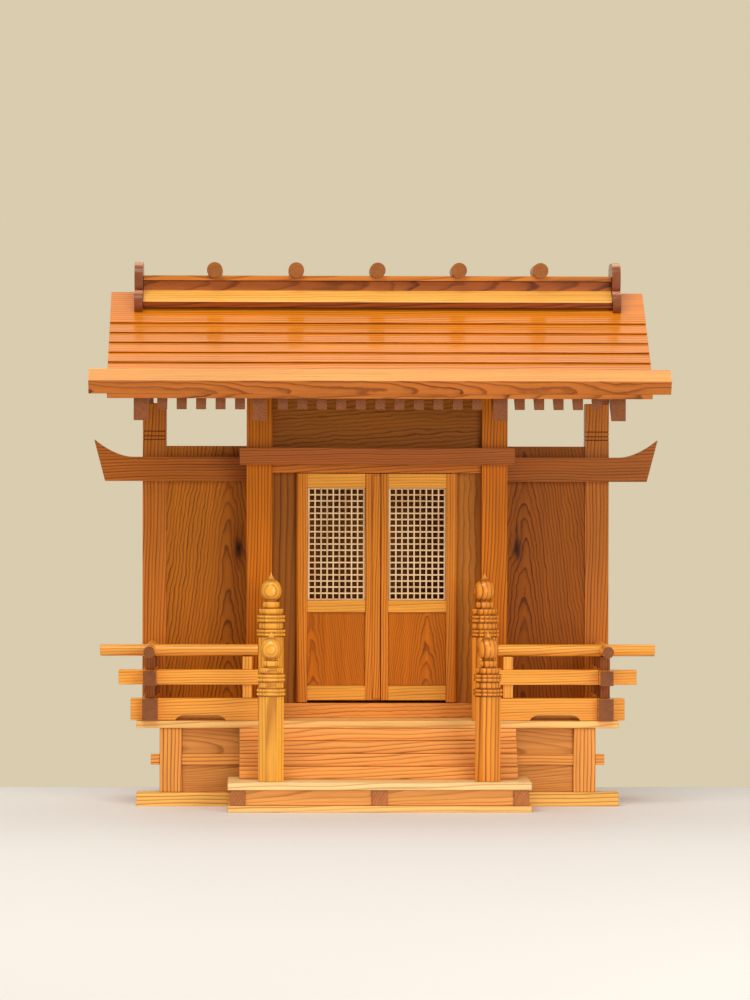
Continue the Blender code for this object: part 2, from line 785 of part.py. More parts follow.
def build_top_rail(side, parent):
    """The round top rail, which runs furthest past the corner."""
    start = side * (FINIAL_X + FINIAL_SHAFT / 2 + GAP)
    end = side * (RAIL_X + TOP_RAIL_END)
    radius = TOP_RAIL_DIAMETER / 2
    along_front = rod(
        f"rail_top_{SIDE_NAMES[side]}",
        (start, RAIL_Y, TOP_RAIL_Z),
        (end, RAIL_Y, TOP_RAIL_Z),
        radius,
        TOP_RAIL_SEGMENTS,
    )
    along_side = rod(
        "side_run",
        (side * RAIL_X, RAIL_Y - TOP_RAIL_END, TOP_RAIL_Z),
        (side * RAIL_X, SCREEN_POST_FRONT - GAP, TOP_RAIL_Z),
        radius,
        TOP_RAIL_SEGMENTS,
    )
    rail = join(along_front, along_side)
    smooth(rail)
    finish(rail, parent, GOLD_BOARD)


def build_railing(parent):
    """Three rails at each side, from the finial post round the corner to the screen."""
    for side in (LEFT, RIGHT):
        build_bottom_rail(side, parent)
        build_middle_rail(side, parent)
        build_top_rail(side, parent)


# Hall

def build_hall_posts(parent):
    """Two square posts from the deck up to the inner main rafters."""
    back = HALL_FRONT + HALL_POST
    foot = DECK_TOP + GAP
    outline = [(HALL_FRONT, foot), (back, foot)]
    outline += roof_line(HALL_FRONT, back, MAIN_RAFTER_DROP)
    for side in (LEFT, RIGHT):
        middle = side * HALL_POST_X
        low = middle - HALL_POST / 2
        post = prism(f"hall_post_{SIDE_NAMES[side]}", outline, "x", low, low + HALL_POST)
        finish(post, parent, BROWN_BOARD, eased=0.0006)


def build_hall_walls(parent):
    """Side walls under the inner main rafters, and a back wall notched for them."""
    foot = DECK_TOP + GAP
    front = HALL_FRONT + HALL_POST + GAP
    back = HALL_BACK - WALL_THICKNESS
    outline = [(front, foot), (back - GAP, foot)]
    outline += roof_line(front, back - GAP, MAIN_RAFTER_DROP)
    for side in (LEFT, RIGHT):
        low = side * HALL_POST_X - WALL_THICKNESS / 2
        name = f"side_wall_{SIDE_NAMES[side]}"
        finish(prism(name, outline, "x", low, low + WALL_THICKNESS), parent, BROWN_BOARD)
    seat = GAP / math.cos(ROOF_PITCH)
    high = under_roof(HALL_BACK, SMALL_RAFTER_DROP + seat)
    notch = under_roof(HALL_BACK, MAIN_RAFTER_DROP + seat)
    notch_x = HALL_POST_X - MAIN_RAFTER_WIDTH / 2 - GAP
    outline = [
        (-WALL_OUTER, foot),
        (WALL_OUTER, foot),
        (WALL_OUTER, notch),
        (notch_x, notch),
        (notch_x, high),
        (-notch_x, high),
        (-notch_x, notch),
        (-WALL_OUTER, notch),
    ]
    finish(prism("back_wall", outline, "y", back, HALL_BACK), parent, BROWN_BOARD)


def pin_holes(sill, level, way):
    """Cut the two blind holes that take the door pins, from a face at the given level."""
    for side in (LEFT, RIGHT):
        start = (side * HINGE_X, LEAF_MIDDLE_Y, level - way * PIN_LENGTH)
        end = (side * HINGE_X, LEAF_MIDDLE_Y, level + way * PIN_LENGTH)
        cut(sill, rod("hole", start, end, PIN_RADIUS + PIN_GAP, PIN_SEGMENTS))


def build_door_surround(parent):
    """Sill, lintel, head beam, transom and the fixed panels beside the doors."""
    reach = HALL_OPENING - GAP
    front = HALL_FRONT + DOOR_FRAME_INSET
    back = front + DOOR_FRAME_DEPTH
    sill = block("door_sill", (-reach, front, DECK_TOP + GAP), (reach, back, DOOR_SILL_TOP))
    pin_holes(sill, DOOR_SILL_TOP, -1)
    finish(sill, parent, ORANGE_BOARD)
    lintel_top = LINTEL_UNDERSIDE + LINTEL_HEIGHT
    lintel = block("lintel", (-reach, front, LINTEL_UNDERSIDE), (reach, back, lintel_top))
    pin_holes(lintel, LINTEL_UNDERSIDE, 1)
    finish(lintel, parent, ORANGE_BOARD)
    half = HEAD_BEAM_LENGTH / 2
    low = (-half, HALL_FRONT - GAP - HEAD_BEAM_THICKNESS, HEAD_BEAM_UNDERSIDE)
    high = (half, HALL_FRONT - GAP, HEAD_BEAM_UNDERSIDE + HEAD_BEAM_HEIGHT)
    finish(block("head_beam", low, high), parent, BROWN_BOARD, eased=0.0006)
    front = HALL_FRONT + TRANSOM_INSET
    back = front + TRANSOM_THICKNESS
    outline = [(front, lintel_top + GAP), (back, lintel_top + GAP)]
    outline += roof_line(front, back, SMALL_RAFTER_DROP)
    finish(prism("transom_panel", outline, "x", -reach, reach), parent, DARK_BOARD)
    front = LEAF_FRONT + LEAF_THICKNESS + FRONT_PANEL_BEHIND
    inner = DOOR_PAIR_WIDTH / 2 - FRONT_PANEL_LAP
    for side in (LEFT, RIGHT):
        ends = sorted((side * inner, side * reach))
        low = (ends[0], front, DOOR_SILL_TOP + GAP)
        high = (ends[1], front + FRONT_PANEL_THICKNESS, LINTEL_UNDERSIDE - GAP)
        finish(block(f"front_panel_{SIDE_NAMES[side]}", low, high), parent, DARK_BOARD)


# Doors

def leaf_opening(side):
    """The two edges, in x, of the opening between a leaf's stiles."""
    outer = side * (DOOR_PAIR_WIDTH / 2 - HANGING_STILE)
    if side == LEFT:
        return (outer, STRIP_WIDTH / 2 - STRIP_WIDTH - MEETING_STILE)
    return (STRIP_WIDTH / 2 + MEETING_STILE, outer)


def leaf_levels():
    """Heights of the leaf's members, from the bottom edge up."""
    panel_low = DOOR_BOTTOM + BOTTOM_RAIL_OF_DOOR
    panel_high = panel_low + DOOR_PANEL_HEIGHT
    lattice_low = panel_high + MIDDLE_RAIL_OF_DOOR
    lattice_high = DOOR_TOP - TOP_RAIL_OF_DOOR
    return (DOOR_BOTTOM, panel_low, panel_high, lattice_low, lattice_high, DOOR_TOP)


def hanging_stile(side):
    """The stile on the hinge side, its outer edge rounded about the pins."""
    radius = LEAF_THICKNESS / 2
    inner = side * (DOOR_PAIR_WIDTH / 2 - HANGING_STILE)
    outline = [(inner, LEAF_MIDDLE_Y + radius), (inner, LEAF_MIDDLE_Y - radius)]
    for index in range(STILE_ARC_STEPS + 1):
        turn = math.pi * index / STILE_ARC_STEPS - math.pi / 2
        x = side * (HINGE_X + radius * math.cos(turn))
        outline.append((x, LEAF_MIDDLE_Y + radius * math.sin(turn)))
    foot = DOOR_SILL_TOP + LEAF_GAP
    stile = prism(f"door_{SIDE_NAMES[side]}_frame", outline, "z", foot, DOOR_TOP)
    pins = []
    for end, way in ((foot, -1), (DOOR_TOP, 1)):
        start = (side * HINGE_X, LEAF_MIDDLE_Y, end - way * PIN_LENGTH)
        tip = (side * HINGE_X, LEAF_MIDDLE_Y, end + way * PIN_LENGTH)
        pins.append(rod("pin", start, tip, PIN_RADIUS, PIN_SEGMENTS))
    return join(stile, gather("pins", pins))


def build_leaf_frame(side, pivot):
    """Stiles and rails of a leaf. The left leaf also carries the meeting strip."""
    left, right = leaf_opening(side)
    levels = leaf_levels()
    seam = STRIP_WIDTH / 2 + side * LEAF_GAP / 2
    edges = sorted((seam, right if side == LEFT else left))
    front = LEAF_FRONT
    back = LEAF_FRONT + LEAF_THICKNESS
    meeting = block("stile", (edges[0], front, DOOR_BOTTOM), (edges[1], back, DOOR_TOP))
    rails = []
    for low, high in zip(levels[0::2], levels[1::2]):
        start = (left - DOOR_TENON, front + DOOR_RAIL_INSET, low)
        end = (right + DOOR_TENON, back - DOOR_RAIL_INSET, high)
        rails.append(block("rail", start, end))
    frame = join(hanging_stile(side), gather("rails", rails), meeting)
    if side == LEFT:
        low = (seam - STRIP_WIDTH, front - STRIP_PROUD, DOOR_BOTTOM + STRIP_SHORT)
        high = (seam, front + STRIP_PROUD, DOOR_TOP - STRIP_SHORT)
        join(frame, block("strip", low, high))
    finish(frame, pivot, GOLD_BOARD)


def build_leaf_lattice(side, pivot):
    """The lattice of square holes in the upper part of a leaf, fused where bars cross."""
    left, right = leaf_opening(side)
    levels = leaf_levels()
    xs = lattice_lines(left + GAP, right - GAP, LATTICE_SIDE_MARGIN, LATTICE_COLUMNS)
    zs = lattice_lines(levels[3] + GAP, levels[4] - GAP, LATTICE_END_MARGIN, LATTICE_ROWS)
    front = LEAF_MIDDLE_Y - LATTICE_THICKNESS / 2
    lattice = cell_plate(
        f"door_{SIDE_NAMES[side]}_lattice",
        xs,
        zs,
        lambda i, j: i % 2 == 0 or j % 2 == 0,
        "y",
        front,
        front + LATTICE_THICKNESS,
    )
    finish(lattice, pivot, LATTICE_WOOD)


def lattice_lines(low, high, margin, count):
    """Edges of the bars and holes across a lattice, with a margin at both ends."""
    pitch = (high - low - 2 * margin + LATTICE_BAR) / count
    lines = [low]
    for index in range(count):
        start = low + margin + index * pitch
        lines += [start, start + pitch - LATTICE_BAR]
    return lines + [high]


def build_leaf_panel(side, pivot):
    """The plain board in the lower part of a leaf."""
    left, right = leaf_opening(side)
    levels = leaf_levels()
    front = LEAF_MIDDLE_Y - DOOR_PANEL_THICKNESS / 2
    low = (left + GAP, front, levels[1] + GAP)
    high = (right - GAP, front + DOOR_PANEL_THICKNESS, levels[2] - GAP)
    finish(block(f"door_{SIDE_NAMES[side]}_panel", low, high), pivot, BROWN_BOARD)


def build_doors(parent):
    """Two leaves, each on an empty that stands on its pins' axis."""
    for side in (LEFT, RIGHT):
        pivot = bpy.data.objects.new(f"door_{SIDE_NAMES[side]}_pivot", None)
        bpy.context.collection.objects.link(pivot)
        pivot.location = (side * HINGE_X, LEAF_MIDDLE_Y, DOOR_BOTTOM)
        pivot.parent = parent
        build_leaf_frame(side, pivot)
        build_leaf_lattice(side, pivot)
        build_leaf_panel(side, pivot)


# Side screens

def square_ring(x, y, half, z):
    """Corners of a square section about a post's axis."""
    return [
        (x - half, y - half, z),
        (x + half, y - half, z),
        (x + half, y + half, z),
        (x - half, y + half, z),
    ]


def build_screen_post(side, parent):
    """The tall post at a screen's outer end, with three grooves near its top."""
    x = side * SCREEN_X
    y = SCREEN_POST_FRONT + SCREEN_POST / 2
    half = SCREEN_POST / 2
    top = DECK_TOP + SCREEN_POST_HEIGHT
    rings = [square_ring(x, y, half, DECK_TOP + GAP)]
    for below in sorted(SCREEN_GROOVES, reverse=True):
        level = top - below
        rings.append(square_ring(x, y, half, level - SCREEN_GROOVE_WIDTH / 2))
        rings.append(square_ring(x, y, half - SCREEN_GROOVE_DEPTH, level))
        rings.append(square_ring(x, y, half, level + SCREEN_GROOVE_WIDTH / 2))
    rings.append(square_ring(x, y, half, top - SCREEN_GROOVE_DEPTH))
    rings.append(square_ring(x, y, half - SCREEN_GROOVE_DEPTH, top))
    finish(stack(f"screen_post_{SIDE_NAMES[side]}", rings), parent, BROWN_BOARD)


def build_screen_panel(side, parent):
    """The board between a screen's post and the hall."""
    front = SCREEN_POST_FRONT + SCREEN_PANEL_INSET
    ends = sorted((side * (WALL_OUTER + GAP), side * (SCREEN_X - SCREEN_POST / 2 - GAP)))
    low = (ends[0], front, DECK_TOP + GAP)
    high = (ends[1], front + SCREEN_PANEL_THICKNESS, DECK_TOP + SCREEN_PANEL_HEIGHT)
    finish(block(f"screen_panel_{SIDE_NAMES[side]}", low, high), parent, BROWN_BOARD)


def build_screen_cap(side, parent):
    """The rail across a screen, which passes its post and sweeps up to a point."""
    low = DECK_TOP + SCREEN_CAP_Z
    high = low + SCREEN_CAP_HEIGHT
    half_outline = [(WALL_OUTER + GAP, low), (SCREEN_CAP_HEEL, low)]
    for index in range(SCREEN_CAP_CURVE_STEPS + 1):
        share = 1 - index / SCREEN_CAP_CURVE_STEPS
        x = SCREEN_CAP_CURVE_START + (SCREEN_CAP_TIP - SCREEN_CAP_CURVE_START) * share
        half_outline.append((x, high + SCREEN_CAP_RISE * share**SCREEN_CAP_CURVE_POWER))
    half_outline.append((WALL_OUTER + GAP, high))
    outline = [(side * x, z) for x, z in half_outline]
    front = SCREEN_CAP_BACK - SCREEN_CAP_THICKNESS
    cap = prism(f"screen_cap_{SIDE_NAMES[side]}", outline, "y", front, SCREEN_CAP_BACK)
    finish(cap, parent, BROWN_BOARD)


def build_screens(parent):
    """The screens that stand at both sides of the hall."""
    for side in (LEFT, RIGHT):
        build_screen_post(side, parent)
        build_screen_panel(side, parent)
        build_screen_cap(side, parent)


# Roof

def rafter_rows():
    """Place, width and drop of every rafter: four main ones with small ones between.

    The small ones run out from the middle to the hall, and from the hall to the gables.
    """
    mains = (-OUTER_RAFTER_X, -HALL_POST_X, HALL_POST_X, OUTER_RAFTER_X)
    rows = [(x, MAIN_RAFTER_WIDTH, MAIN_RAFTER_DROP) for x in mains]
    rows.append((0.0, SMALL_RAFTER_WIDTH, SMALL_RAFTER_DROP))
    clear = (MAIN_RAFTER_WIDTH + SMALL_RAFTER_WIDTH) / 2 + RAFTER_LEAST_GAP
    for start, end in ((0.0, HALL_POST_X), (HALL_POST_X, OUTER_RAFTER_X)):
        count = int((end - clear - start) / RAFTER_PITCH)
        for index in range(1, count + 1):
            for side in (LEFT, RIGHT):
                x = side * (start + index * RAFTER_PITCH)
                rows.append((x, SMALL_RAFTER_WIDTH, SMALL_RAFTER_DROP))
    return rows


def build_slope(name, side, parent):
    """The sheathing of one slope with the rafters fixed under it."""
    length = slope_length(side)
    outline = [
        slope_point(side, ridge_cut(0.0), 0.0),
        slope_point(side, length, 0.0),
        slope_point(side, length, SHEATHING_THICKNESS),
        slope_point(side, ridge_cut(SHEATHING_THICKNESS), SHEATHING_THICKNESS),
    ]
    slope = prism(f"roof_{name}", outline, "x", -ROOF_LENGTH / 2, ROOF_LENGTH / 2)
    upper = RIDGE_Y + side * GAP
    lower = slope_point(side, length, 0.0)[0] - side * RAFTER_END_INSET
    rafters = []
    for x, width, drop in rafter_rows():
        outline = [
            (upper, under_roof(upper, -RAFTER_HOUSING)),
            (lower, under_roof(lower, -RAFTER_HOUSING)),
            (lower, under_roof(lower, drop)),
            (upper, under_roof(upper, drop)),
        ]
        rafters.append(prism("rafter", outline, "x", x - width / 2, x + width / 2))
    join(slope, gather("rafters", rafters))
    finish(slope, parent, RED_BROWN_BOARD)


def build_eave(name, side, parent):
    """The thick strip along an eave. The front one is longer than the roof it edges."""
    length = slope_length(side)
    reach = EAVE_LENGTH / 2 if side == FRONT else ROOF_LENGTH / 2
    outline = [
        slope_point(side, length - EAVE_WIDTH, SHINGLE_BASE),
        slope_point(side, length, SHINGLE_BASE),
        slope_point(side, length, EAVE_TOP),
        slope_point(side, length - EAVE_WIDTH, EAVE_TOP),
    ]
    finish(prism(f"eave_{name}", outline, "x", -reach, reach), parent, PALE_BOARD)


def build_shingles(name, side, parent):
    """Lapped boards: each tapers up the slope to the butt of the one above."""
    start = slope_length(side) - EAVE_WIDTH - GAP
    count = int((start - TOP_BOARD_LEAST) / SHINGLE_EXPOSURE)
    outline = [
        slope_point(side, ridge_cut(SHINGLE_BASE), SHINGLE_BASE),
        slope_point(side, start, SHINGLE_BASE),
    ]
    for index in range(count):
        butt = start - index * SHINGLE_EXPOSURE
        outline.append(slope_point(side, butt, SHINGLE_TOP))
        head = butt - SHINGLE_EXPOSURE
        outline.append(slope_point(side, head, SHINGLE_TOP - SHINGLE_STEP))
    outline.append(slope_point(side, start - count * SHINGLE_EXPOSURE, SHINGLE_TOP))
    outline.append(slope_point(side, ridge_cut(SHINGLE_TOP), SHINGLE_TOP))
    shingles = prism(f"shingles_{name}", outline, "x", -ROOF_LENGTH / 2, ROOF_LENGTH / 2)
    finish(shingles, parent, ORANGE_BOARD)


def flashing_top(reach):
    """Height of the sloping ridge board at a distance from the ridge."""
    edge = over_roof(FLASHING_REACH) + FLASHING_LIFT + FLASHING_THICKNESS
    return edge + (FLASHING_REACH - reach) * math.tan(ROOF_PITCH)


def ridge_top():
    """Height of the top of the upright ridge boards."""
    return flashing_top(RIDGE_BOARD_HALF) + RIDGE_BOARD_RISE


def build_ridge(parent):
    """The box along the ridge: a foot, a sloping board over it and upright boards."""
    inner = RIDGE_SPAN / 2 - RIDGE_END_THICKNESS - GAP
    half = [
        (0.0, over_roof(0.0)),
        (RIDGE_FOOT, over_roof(RIDGE_FOOT)),
        (RIDGE_FOOT, flashing_top(RIDGE_FOOT) - FLASHING_THICKNESS),
        (FLASHING_REACH, flashing_top(FLASHING_REACH) - FLASHING_THICKNESS),
        (FLASHING_REACH, flashing_top(FLASHING_REACH)),
        (RIDGE_BOARD_HALF, flashing_top(RIDGE_BOARD_HALF)),
        (RIDGE_BOARD_HALF, ridge_top()),
    ]
    body = prism("ridge_body", mirrored_outline(half), "x", -inner, inner)
    finish(body, parent, BROWN_BOARD)
    low = (-inner, RIDGE_Y - CAP_HALF_DEPTH, ridge_top() + GAP)
    high = (inner, RIDGE_Y + CAP_HALF_DEPTH, ridge_top() + GAP + CAP_THICKNESS)
    cap = block("ridge_cap", low, high)
    logs = []
    for index in range(LOG_COUNT):
        x = (index - (LOG_COUNT - 1) / 2) * LOG_PITCH
        z = high[2] + LOG_RADIUS - LOG_NOTCH
        start = (x, RIDGE_Y - LOG_LENGTH / 2, z)
        logs.append(rod("log", start, (x, RIDGE_Y + LOG_LENGTH / 2, z), LOG_RADIUS, LOG_SEGMENTS))
    join(cap, gather("logs", logs))
    smooth(cap)
    finish(cap, parent, GOLD_BOARD)


def build_ridge_ends(parent):
    """The two-lobed boards that straddle the roof at both ends of the ridge."""
    foot = over_roof(END_FOOT)
    waist = foot + END_WAIST_RISE
    top = foot + END_HEIGHT
    half = [(0.0, over_roof(0.0)), (END_FOOT, foot)]
    for low, high, start, bulge, crown in (
        (foot, waist, END_FOOT, END_LOWER_LOBE, END_WAIST),
        (waist, top, END_WAIST, END_UPPER_LOBE, END_TOP_HALF),
    ):
        for index in range(1, END_LOBE_STEPS + 1):
            turn = math.pi * index / END_LOBE_STEPS - math.pi / 2
            base = start if turn < 0 else crown
            reach = base + (bulge - base) * math.cos(turn)
            half.append((reach, (low + high) / 2 + (high - low) / 2 * math.sin(turn)))
    for side in (LEFT, RIGHT):
        inner = side * (RIDGE_SPAN / 2 - RIDGE_END_THICKNESS)
        ends = sorted((inner, side * RIDGE_SPAN / 2))
        name = f"ridge_end_{SIDE_NAMES[side]}"
        finish(prism(name, mirrored_outline(half), "x", *ends), parent, RED_BROWN_BOARD)


def build_roof(parent):
    """Both slopes, their shingles and eaves, and the ridge."""
    for name, side in (("front", FRONT), ("back", BACK)):
        build_slope(name, side, parent)
        build_eave(name, side, parent)
        build_shingles(name, side, parent)
    build_ridge(parent)
    build_ridge_ends(parent)


def main():
    clear_scene()
    shrine = bpy.data.objects.new("shrine", None)
    bpy.context.collection.objects.link(shrine)
    shrine.location = (0.0, -FOOTPRINT_MIDDLE, 0.0)
    build_ground_sill(shrine)
    build_base_framing(shrine)
    build_base_panels(shrine)
    build_deck(shrine)
    build_platform(shrine)
    build_stairs(shrine)
    build_finial_posts(shrine)
    build_railing(shrine)
    build_hall_posts(shrine)
    build_hall_walls(shrine)
    build_door_surround(shrine)
    build_doors(shrine)
    build_screens(shrine)
    build_roof(shrine)


main()
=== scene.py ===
"""Looks of a household Shinto shrine (kamidana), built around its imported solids.

Every surface is varnished softwood, whose rings, fibres and end grain come from one wood
shader. Most nodes made of one board keep their mesh. The others are replaced by a piece in
which each board has its own grain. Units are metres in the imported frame.
"""

import random
from math import acos, cos, pi, radians, sin, tan

import bmesh
import bpy
from mathutils import Matrix, Vector


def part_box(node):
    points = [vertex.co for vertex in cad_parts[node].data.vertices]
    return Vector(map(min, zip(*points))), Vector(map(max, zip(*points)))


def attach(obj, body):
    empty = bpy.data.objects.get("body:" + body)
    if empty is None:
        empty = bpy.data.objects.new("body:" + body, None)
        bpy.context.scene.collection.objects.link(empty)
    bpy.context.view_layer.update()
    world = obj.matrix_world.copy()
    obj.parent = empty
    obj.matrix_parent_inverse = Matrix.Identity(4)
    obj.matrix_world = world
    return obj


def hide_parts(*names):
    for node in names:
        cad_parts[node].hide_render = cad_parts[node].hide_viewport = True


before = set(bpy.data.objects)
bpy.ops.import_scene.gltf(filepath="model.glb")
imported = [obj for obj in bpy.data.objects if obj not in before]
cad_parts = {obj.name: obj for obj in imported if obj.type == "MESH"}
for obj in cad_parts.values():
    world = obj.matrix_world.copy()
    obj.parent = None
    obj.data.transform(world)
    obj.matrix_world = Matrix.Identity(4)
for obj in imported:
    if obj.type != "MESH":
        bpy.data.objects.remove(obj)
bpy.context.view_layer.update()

# Sides
LEFT = -1
RIGHT = 1
FRONT = -1
BACK = 1
SIDE_NAMES = {LEFT: "left", RIGHT: "right"}

# Edges and seams
EDGE = 0.0005
THIN_EDGE = 0.0003
BAR_EDGE = 0.0002
LOG_EDGE = 0.0007
ROUND_RAIL_EDGE = 0.0008
EDGE_SEGMENTS = 2
SHARP_ANGLE = radians(40)
SMOOTH_ANGLE = radians(35)
FINIAL_SMOOTH_ANGLE = radians(28)
SEAM = 0.0001
GLUE_LINE = 0.0003

# Camera, from the vanishing lines and scale of the photograph
CAMERA_PLACE = (-0.123, -5.1375, 0.390)
CAMERA_WAY = (0.02349, 1.0, -0.01168)
CAMERA_ROLL = radians(-0.12)
FOCAL_PIXELS = 4710.0
IMAGE_HEIGHT = 1000.0
SENSOR = 36.0

# Floor, room and lamps
FLOOR_HALF_WIDTH = 3.0
FLOOR_FRONT = -7.0
FLOOR_BACK = 0.226
FLOOR_COLOUR = "E8E7E6"
BACKGROUND_COLOUR = "D9CCAF"
ROOM_LIGHT_COLOUR = "FFF4E6"
ROOM_LIGHT_STRENGTH = 0.42
LAMP_TARGET = (0.0, 0.0, 0.25)
KEY_TINT = (1.0, 0.97, 0.92)
FILL_TINT = (1.0, 0.98, 0.95)

# Roof
ROOF_PITCH = radians(33.5)
RIDGE_Y = 0.0175
ROOF_APEX_Z = 0.5334
SHEATHING = 0.0057
SHINGLE_BASE = 0.0060
SHINGLE_THICKNESS = 0.0134
SHINGLE_STEP = 0.0018
SHINGLE_EXPOSURE = 0.0197
SHINGLE_UNDERCUT = 0.0011
SHINGLE_LAP = 0.004
EAVE_TOP = 0.0227
EAVE_WIDTH = 0.0228
FRONT_RUN = 0.155
BACK_RUN = 0.130
TOP_BOARD_LEAST = 0.040
SMALL_RAFTER = (0.0107, 0.0144)
MAIN_RAFTER = (0.0155, 0.0261)
HALL_RAFTER_X = 0.1284
OUTER_RAFTER_X = 0.2545
RAFTER_PITCH = 0.0207
SMALL_RAFTERS_A_BAY = 5
RAFTER_END_INSET = 0.0042
HALF_RIDGE_SEAM = 0.00015

# Ridge
RIDGE_FOOT = 0.022
RIDGE_BOARD_HALF = 0.0155
RIDGE_BOARD_RISE = 0.0102
FLASHING_REACH = 0.0339
FLASHING_LIFT = 0.0047
FLASHING_THICKNESS = 0.0069
# Thickness of the pale top layer of each sloping ridge board; the dark layer under it is painted shade
# on the board's front edge, and the pale strip the top layer leaves at the top of that edge a painted
# highlight
FLASHING_FACE = 0.0011
CAP_HALF_DEPTH = 0.0215
CAP_THICKNESS = 0.0054
LOG_RADIUS = 0.0085
LOG_LENGTH = 0.056
LOG_PITCH = 0.0887
LOG_NOTCH = 0.0026
LOG_COUNT = 5
END_FOOT = 0.034
END_LOWER_LOBE = 0.041
END_WAIST = 0.026
END_UPPER_LOBE = 0.031
END_TOP_HALF = 0.014
END_WAIST_RISE = 0.0235
END_LOBE_STEPS = 20
END_HEIGHT = 0.0545

# Base and platform
SILL_WIDTH = 0.024
BASE_HALF_SPAN = 0.2355
BASE_POST = 0.024
TIE_UNDERSIDE = 0.0445
TIE_HEIGHT = 0.0115
TIE_THICKNESS = 0.006
TIE_INSET = 0.0015
BEARER_WIDTH = 0.0163
PLATFORM_PANEL_INSET = 0.003
PLATFORM_PANEL_THICKNESS = 0.006

# Finial posts
FINIAL_SHAFT = 0.027
FINIAL_SHAFT_HEIGHT = 0.090
FINIAL_SEGMENTS = 64
OCTAGON_HALF_SIDE = pi / 8
COLLAR_GROOVE = 0.0016
COLLAR_GROOVE_LEVELS = (0.3, 0.7)
COLLAR_STEPS = 8
COLLAR_ROUNDING = 0.0013
COLLAR_FULLNESS = 0.7
BULB_NECK = 0.0058
BULB_NECK_HEIGHT = 0.0014
BULB_RADIUS = 0.0114
BULB_LOWER = 0.0098
BULB_UPPER = 0.0132
BULB_STEPS = 12
SPIRE_FOOT = 0.0042
SPIRE_TIP = 0.0005
SPIRE_HEIGHT = 0.0072
SPIRE_STEPS = 6
SPIRE_POWER = 1.7
FINIAL_WOODS = {LEFT: ("gold", (0.002, 0.040)), RIGHT: ("gold_dark", (0.038, 0.008))}

# Collars from the shaft up: gap below, height, radius at the foot and at the head
FINIAL_COLLARS = (
    (0.0012, 0.0028, 0.0153, 0.0153),
    (0.0012, 0.0028, 0.0153, 0.0153),
    (0.0010, 0.0064, 0.0132, 0.0132),
    (0.0010, 0.0031, 0.0150, 0.0150),
    (0.0012, 0.0029, 0.0150, 0.0150),
    (0.0010, 0.0060, 0.0124, 0.0136),
    (0.0010, 0.0064, 0.0090, 0.0090),
)

# Railing
RAIL_X = 0.246
RAIL_Y = -0.0445
BOTTOM_RAIL_WIDTH = 0.0167
MIDDLE_RAIL_Z = 0.139
MIDDLE_RAIL_HEIGHT = 0.016
MIDDLE_RAIL_WIDTH = 0.0144
TOP_RAIL_Z = 0.168
TOP_RAIL_DIAMETER = 0.0127
RAIL_POST = 0.0106
RAIL_POST_X = 0.141
RAIL_POST_DEPTHS = (0.0015, 0.0445)
SCUPPER_X = 0.1916
SCUPPER_WIDTH = 0.0544
SCUPPER_TOP_WIDTH = 0.0434
SCUPPER_HEIGHT = 0.0056
SCUPPER_STEPS = 10

# Doors
DOOR_PAIR_WIDTH = 0.1758
HANGING_STILE = 0.012
MEETING_STILE = 0.0083
STRIP_WIDTH = 0.0085
LEAF_GAP = 0.0009
LEAF_FRONT = 0.0105
LEAF_THICKNESS = 0.009
DOOR_BOTTOM = 0.1108
DOOR_TOP = 0.3587
DOOR_RAILS = ((0.0, 0.016), (0.0962, 0.1094), (0.2322, 0.2479))
DOOR_RAIL_INSET = 0.0004
STRIP_SHORT = 0.0018
STILE_ROUND_STEPS = 16
STILE_FOOT_DROP = 0.0023
PIN_RADIUS = 0.002
PIN_SEGMENTS = 24
LATTICE_COLUMNS = 9
LATTICE_ROWS = 18
LATTICE_BAR = 0.0016
LATTICE_SIDE_MARGIN = 0.0022
LATTICE_END_MARGIN = 0.0013
LATTICE_BAR_SETBACK = 0.00015

# Side screens
SCREEN_CAP_HEEL = 0.298
SCREEN_CAP_TIP = 0.310
SCREEN_CAP_CURVE_START = 0.268
SCREEN_CAP_RISE = 0.019
SCREEN_CAP_CURVE_POWER = 1.8
SCREEN_CAP_STEPS = 24
SCREEN_CAP_HEIGHT = 0.0267

# Boards of the side screens, with a knot in each beside the hall
SCREEN_TONGUE = 0.0012
SCREEN_HEART = (0.018, 0.005)
KNOT_X = {LEFT: -0.1515, RIGHT: 0.1565}
KNOT_Z = 0.276
KNOT_WIDTH = 0.0042
KNOT_LENGTH = 0.0125
KNOT_COLOUR = "361402"
KNOT_RIM_COLOUR = "6A3204"
KNOT_RIM_SHARE = 0.5
KNOT_RAGGEDNESS = 0.8
KNOT_CORE_REACH = (0.6, 1.6)
KNOT_RIM_REACH = (0.5, 3.0)
KNOT_SWELLING = 0.006

# What all woods share: noise scales are across and along the grain, ranges low and high
GRAIN_WAYS = {"x": (1, 0, 0), "y": (0, 1, 0), "z": (0, 0, 1)}
GRAIN_SHIFT = 3.0
WARP_NOISE = (14.0, 5.0)
RIPPLE_NOISE = (90.0, 9.0)
JAG_NOISE = (70.0, 45.0)
STREAK_NOISE = (260.0, 7.0)
FIBRE_NOISE = (1500.0, 60.0)
CLOUD_NOISE = (18.0, 4.0)
KNOT_NOISE = (300.0, 120.0)
NOISE_RANGE = (0.3, 0.7)
STREAK_TONE = (0.86, 1.08)
FIBRE_TONE = (-0.04, 0.04)
CLOUD_TONE = (0.90, 1.06)
STREAK_ROUGHNESS = (-0.04, 0.05)
RIPPLE_SHARE = 0.5
RING_PROFILE = ((0.0, 0.0), (0.40, 0.05), (0.66, 0.30), (0.84, 1.0), (0.93, 0.9), (1.0, 0.02))
RING_STRENGTH = (0.50, 1.0)
END_ANGLE = (0.55, 0.85)
# Faces that look up this far take the painted highlight of a look's top colour
PAINTED_HIGHLIGHT_ANGLE = (0.6, 0.85)
END_LATE_SHADE = 0.4
END_LATE_SHARE = 0.6
END_ROUGHNESS = 0.15
SPECULAR_LEVEL = 0.12
BUMP_OF_RINGS = 0.6
BUMP_OF_FIBRES = 0.5


